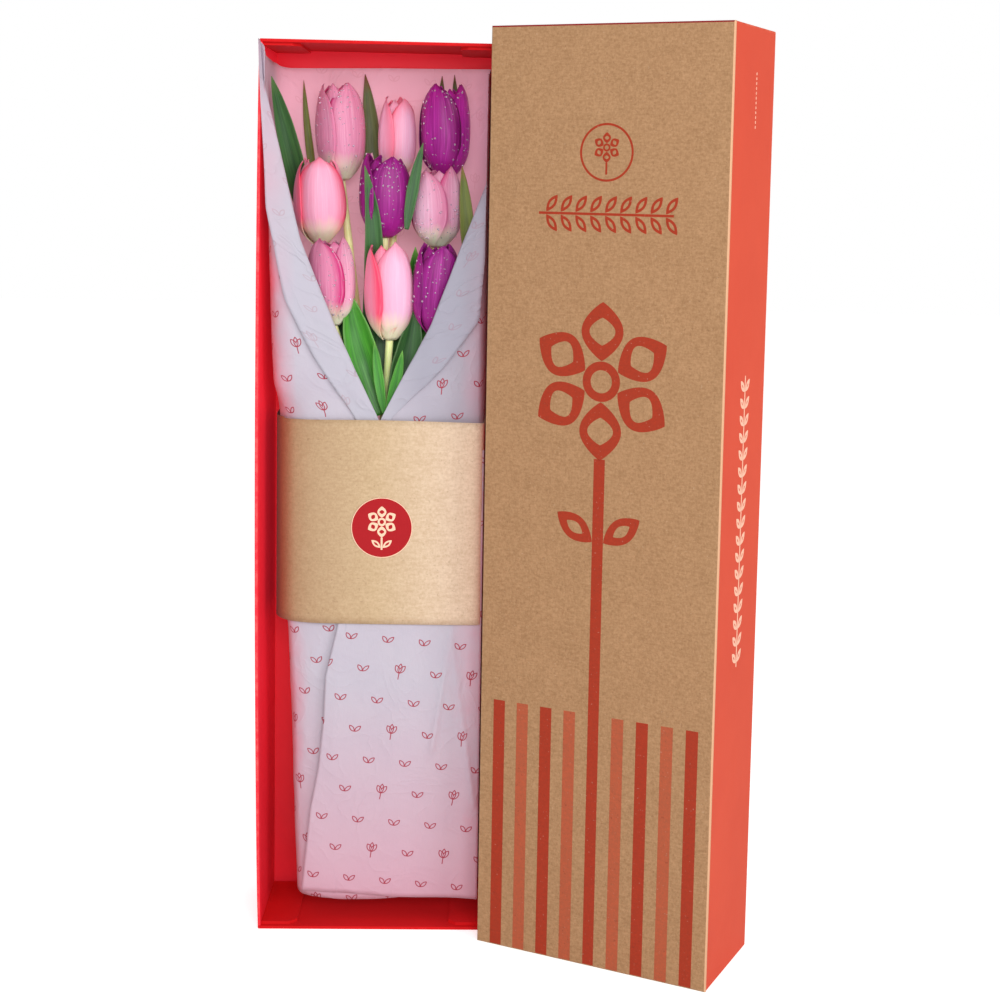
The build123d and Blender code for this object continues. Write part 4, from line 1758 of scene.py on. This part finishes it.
@dataclass
class TulipLeaf:
    """One long leaf, bowed between the foot and tip of its blade."""

    node: str
    tone: LeafTone
    width: float
    bow: tuple[float, float, float]
    cup: float = 0.25
    twist: float = 0.0
    face: tuple[float, float, float] = (0.0, -1.0, 0.0)
    low: Optional[tuple[float, float, float]] = None
    high: Optional[tuple[float, float, float]] = None
    behind: str = ""
    thickness: float = 0.4 * MM
    profile: tuple = ((0.0, 0.35), (0.2, 0.8), (0.45, 1.0), (0.7, 0.78), (0.88, 0.42), (1.0, 0.02))

    def make(self, greens: dict) -> bpy.types.Object:
        """Build the leaf.

        Args:
            greens: The leaf material of each tone.

        Returns:
            The leaf.
        """
        verts = [vert.co for vert in frame["nodes"][self.node].data.vertices]
        foot = Vector(min(verts, key=lambda v: v.z))
        tip = Vector(max(verts, key=lambda v: v.z))
        foot += Vector(self.low or (0.0, 0.0, 0.0)) * MM
        tip += Vector(self.high or (0.0, 0.0, 0.0)) * MM
        middle = (foot + tip) / 2 + Vector(self.bow) * MM
        half = self.width * MM / 2

        def place(across: float, along: float) -> Vector:
            """Return the leaf's place for across and along."""
            t, s = across * 2 - 1, along
            spine = foot * (1 - s) ** 2 + middle * 2 * s * (1 - s) + tip * s ** 2
            ahead = ((middle - foot) * (1 - s) + (tip - middle) * s).normalized()
            facing = Vector(self.face).normalized()
            facing.rotate(Matrix.Rotation(self.twist * (s - 0.5), 3, ahead))
            sideways = ahead.cross(facing).normalized()
            outward = sideways.cross(ahead).normalized()
            width = half * along_points(self.profile, s)
            return spine + sideways * t * width - outward * self.cup * width * (1 - t * t)
        build = bmesh.new()
        shaped_grid(build, 6, 22, place)
        piece = finish_mesh((self.behind or self.node) + "_blade", build, [greens[self.tone]])
        thicken(piece, self.thickness, 0.0, 0, 1)
        return settle(piece, "leaf", "bouquet", *([] if self.behind else [self.node]))


@dataclass
class Bouquet:
    """The nine tulips with their leaves, stems, tie and moist sleeve."""

    tulips: tuple = (
        Tulip("bloom_back_left", PetalTone.DUSTY, 33.5 * MM, 0.5, 0.8 * MM, 170, 11, 0.7 * MM, 0.45),
        Tulip("bloom_back_centre", PetalTone.SALMON, 26.0 * MM, 2.6, -0.6 * MM, 0, 12, 0.5 * MM),
        Tulip("bloom_back_right", PetalTone.PURPLE, 35.0 * MM, 1.2, 0.8 * MM, 240, 13, 1.2 * MM),
        Tulip("bloom_middle_left", PetalTone.SALMON, 35.0 * MM, 4.1, 0.2 * MM, 0, 14, 0.6 * MM),
        Tulip("bloom_middle_centre", PetalTone.PURPLE, 36.0 * MM, 0.2, 1.4 * MM, 240, 15, 1.2 * MM, 0.78),
        Tulip("bloom_middle_right", PetalTone.DUSTY, 34.0 * MM, 5.2, -0.2 * MM, 200, 16, 0.8 * MM),
        Tulip("bloom_front_left", PetalTone.DUSTY, 32.0 * MM, 3.3, 0.0, 170, 17, 0.8 * MM),
        Tulip("bloom_front_centre", PetalTone.SALMON, 33.0 * MM, 4.6, 0.6 * MM, 0, 18, 0.5 * MM),
        Tulip("bloom_front_right", PetalTone.PURPLE, 32.0 * MM, 2.1, 0.8 * MM, 190, 19, 1.2 * MM, 0.72),
    )
    leaves: tuple = (
        TulipLeaf("leaf_left_long", LeafTone.DARK, 15.0, (2.5, 2.0, 0.0), 0.5, 0.5, high=(-5.0, -14.0, 3.0)),
        TulipLeaf("leaf_left_thin", LeafTone.OLIVE, 5.5, (-3.0, -1.0, 0.0), 0.4, 0.6),
        TulipLeaf("leaf_back_left", LeafTone.TIPPED, 13.0, (5.0, 0.0, 0.0), 0.3, 0.3),
        TulipLeaf("leaf_back_right_low", LeafTone.TIPPED, 7.0, (0.0, 0.0, 0.0), 0.3, 0.2),
        TulipLeaf("leaf_back_right_high", LeafTone.TIPPED, 6.0, (1.0, 0.0, 0.0), 0.3, 0.2),
        TulipLeaf("leaf_middle_left", LeafTone.DARK, 13.0, (13.0, -3.0, 0.0), 0.5, 0.5,
                  low=(3.0, 7.0, 4.0), high=(4.5, -3.0, 0.0)),
        TulipLeaf("leaf_middle_right", LeafTone.DARK, 8.0, (-2.0, 0.0, 0.0), 0.3, 0.2),
        TulipLeaf("leaf_right_long", LeafTone.OLIVE, 10.0, (1.0, -1.0, 0.0), 0.3, 0.3),
        TulipLeaf("leaf_inner_right", LeafTone.BRIGHT, 14.0, (-1.0, -4.0, 0.0), 0.5, 0.3,
                  high=(0.0, -6.0, 4.0)),
        TulipLeaf("leaf_front_left", LeafTone.BRIGHT, 23.0, (-3.5, -1.0, 0.0), 0.6, 0.5,
                  high=(-2.0, 4.0, 20.0)),
        TulipLeaf("leaf_front_thin", LeafTone.BRIGHT, 7.0, (-1.0, 0.0, 0.0), 0.3, 0.2),
        TulipLeaf("leaf_front_right", LeafTone.DARK, 20.0, (4.0, -1.0, 0.0), 0.55, 0.4,
                  high=(1.0, 6.0, 12.0)),
        TulipLeaf("leaf_front_small", LeafTone.BRIGHT, 7.5, (2.0, 0.0, 0.0), 0.3, 0.2, high=(2.0, 0.0, 4.0)),
        TulipLeaf("leaf_front_left", LeafTone.DARK, 26.0, (-5.0, 0.0, 0.0), 0.5, 0.3, low=(0.0, 9.0, 0.0),
                  high=(-13.0, 14.0, 26.0), behind="leaf_behind_left"),
        TulipLeaf("leaf_front_right", LeafTone.BRIGHT, 24.0, (5.0, 0.0, 0.0), 0.5, -0.3, low=(-2.0, 9.0, 0.0),
                  high=(11.0, 15.0, 22.0), behind="leaf_behind_right"),
        TulipLeaf("leaf_front_small", LeafTone.DARK, 22.0, (-2.0, 0.0, 0.0), 0.4, 0.2, low=(-3.0, 18.0, 4.0),
                  high=(-9.0, 22.0, 56.0), behind="leaf_behind_middle"),
    )

    def make(self) -> list:
        """Build every flower and leaf, and dress the stems, the tie and the sleeve.

        Returns:
            The new pieces.
        """
        petals = {tone: Petal(tone).make() for tone in PetalTone}
        greens = {tone: Leaf(tone).make() for tone in LeafTone}
        dew = Dew().make()
        stalk = Stalk().make()
        pieces = []
        for tulip in self.tulips:
            pieces += tulip.make(petals, dew)
            dress(tulip.node.replace("bloom", "stem"), stalk)
        for leaf in self.leaves:
            pieces.append(leaf.make(greens))
        rubber = PlainGrain("tie_rubber", paint(196, 150, 96), paint(184, 138, 86), 0.6, 200.0).make()
        film = PlainGrain("sleeve_film", paint(226, 232, 230), paint(210, 220, 218), 0.25, 90.0).make()
        dress("stem_tie", rubber)
        dress("hydration_sleeve", film)
        return pieces


# ---------------------------------------------------------------------------- the studio


@dataclass
class Studio:
    """The pale floor, the soft lights and the camera."""

    eye: tuple[float, float, float] = (0.0762, -1.1665, 0.5085)
    yaw: float = math.radians(1.926)
    pitch: float = math.radians(-6.255)
    roll: float = math.radians(1.178)
    lens: float = 61.64
    shift: tuple[float, float] = (-0.0498, -0.1256)
    sensor: float = 36.0
    fill: float = 0.54
    floor_half: float = 6.0
    floor_glow: float = 0.52
    lamps: tuple = (("key", (0.5, -2.3, 1.15), 1.0, 23.0), ("side", (2.0, -1.7, 0.9), 1.0, 16.0),
                    ("front", (-0.25, -2.3, 1.0), 0.8, 8.0))
    aim: tuple[float, float, float] = (0.0, 0.0, 0.3)

    def make(self) -> None:
        """Set up the floor, the lights and the camera."""
        self.floor()
        self.lights()
        self.camera()

    def floor(self) -> None:
        """Lay a wide pale floor."""
        build = bmesh.new()
        bmesh.ops.create_grid(build, x_segments=1, y_segments=1, size=self.floor_half)
        material, kit, shader = Finish().begin("studio_floor", Roughness=0.9, Specular_IOR_Level=0.1)
        place = kit.place()
        kit.put(shader.inputs["Base Color"], kit.mix(kit.noise(place, 3.0, 2.0), paint(252, 252, 252),
                                                     paint(248, 248, 248)))
        seen = kit.add("ShaderNodeLightPath").outputs["Is Camera Ray"]
        shader.inputs["Emission Color"].default_value = (1.0, 1.0, 1.0, 1.0)
        kit.put(shader.inputs["Emission Strength"], kit.times(seen, self.floor_glow))
        floor = finish_mesh("studio_floor", build, [material])

    def lights(self) -> None:
        """Hang the softboxes and fill the room with pale light."""
        world = bpy.data.worlds.new("studio")
        bpy.context.scene.world = world
        world.use_nodes = True
        kit = NodeKit(world.node_tree)
        backdrop = world.node_tree.nodes["Background"]
        backdrop.inputs["Color"].default_value = (1.0, 1.0, 1.0, 1.0)
        seen = kit.add("ShaderNodeLightPath").outputs["Is Camera Ray"]
        kit.put(backdrop.inputs["Strength"], kit.plus(kit.times(seen, 1.0 - self.fill), self.fill))
        for name, place, size, power in self.lamps:
            lamp = bpy.data.lights.new(name, "AREA")
            lamp.energy = power
            lamp.size = size
            holder = bpy.data.objects.new(name, lamp)
            holder.location = place
            holder.rotation_euler = (Vector(self.aim) - Vector(place)).to_track_quat("-Z", "Y").to_euler()
            bpy.context.scene.collection.objects.link(holder)
        bpy.context.scene.view_settings.view_transform = "Standard"

    def camera(self) -> None:
        """Set the camera at the display's viewing place."""
        level = math.cos(self.pitch)
        forward = Vector((math.sin(self.yaw) * level, math.cos(self.yaw) * level, math.sin(self.pitch)))
        right = Vector((math.cos(self.yaw), -math.sin(self.yaw), 0.0))
        up = right.cross(forward)
        rolled_right = right * math.cos(self.roll) + up * math.sin(self.roll)
        rolled_up = up * math.cos(self.roll) - right * math.sin(self.roll)
        lens = bpy.data.cameras.new("display_camera")
        lens.lens = self.lens
        lens.sensor_width = self.sensor
        lens.shift_x, lens.shift_y = self.shift
        lens.clip_start = 0.01
        holder = bpy.data.objects.new("display_camera", lens)
        pose = Matrix((rolled_right, rolled_up, -forward)).transposed().to_4x4()
        pose.translation = Vector(self.eye)
        holder.matrix_world = pose
        bpy.context.scene.collection.objects.link(holder)
        bpy.context.scene.camera = holder


def main() -> None:
    """Build the flower box and report each piece."""
    logging.basicConfig(level=logging.INFO, format="%(message)s")
    tissue_outer = Tissue("tissue_outer", 0.92).make()
    tissue_inner = Tissue("tissue_inner", 0.2, paint(180, 178, 190), light_through=0.33, creased=0.4,
                          shaded=0.55, side_glow=0.3).make()
    pieces = []
    pieces += Tray().make()
    pieces += Lid(LidFrame.read()).make()
    pieces.append(TissueWrap(tissue_outer, tissue_inner).make())
    pieces.append(FrontSheet(tissue_outer, tissue_inner).make())
    pieces += Band(KraftPaper("band_kraft").make()).make()
    pieces += Bouquet().make()
    Studio().make()
    for piece in pieces:
        LOG.info("%s: %d faces", piece.name, len(piece.data.polygons))


if __name__ == "__main__":
    main()
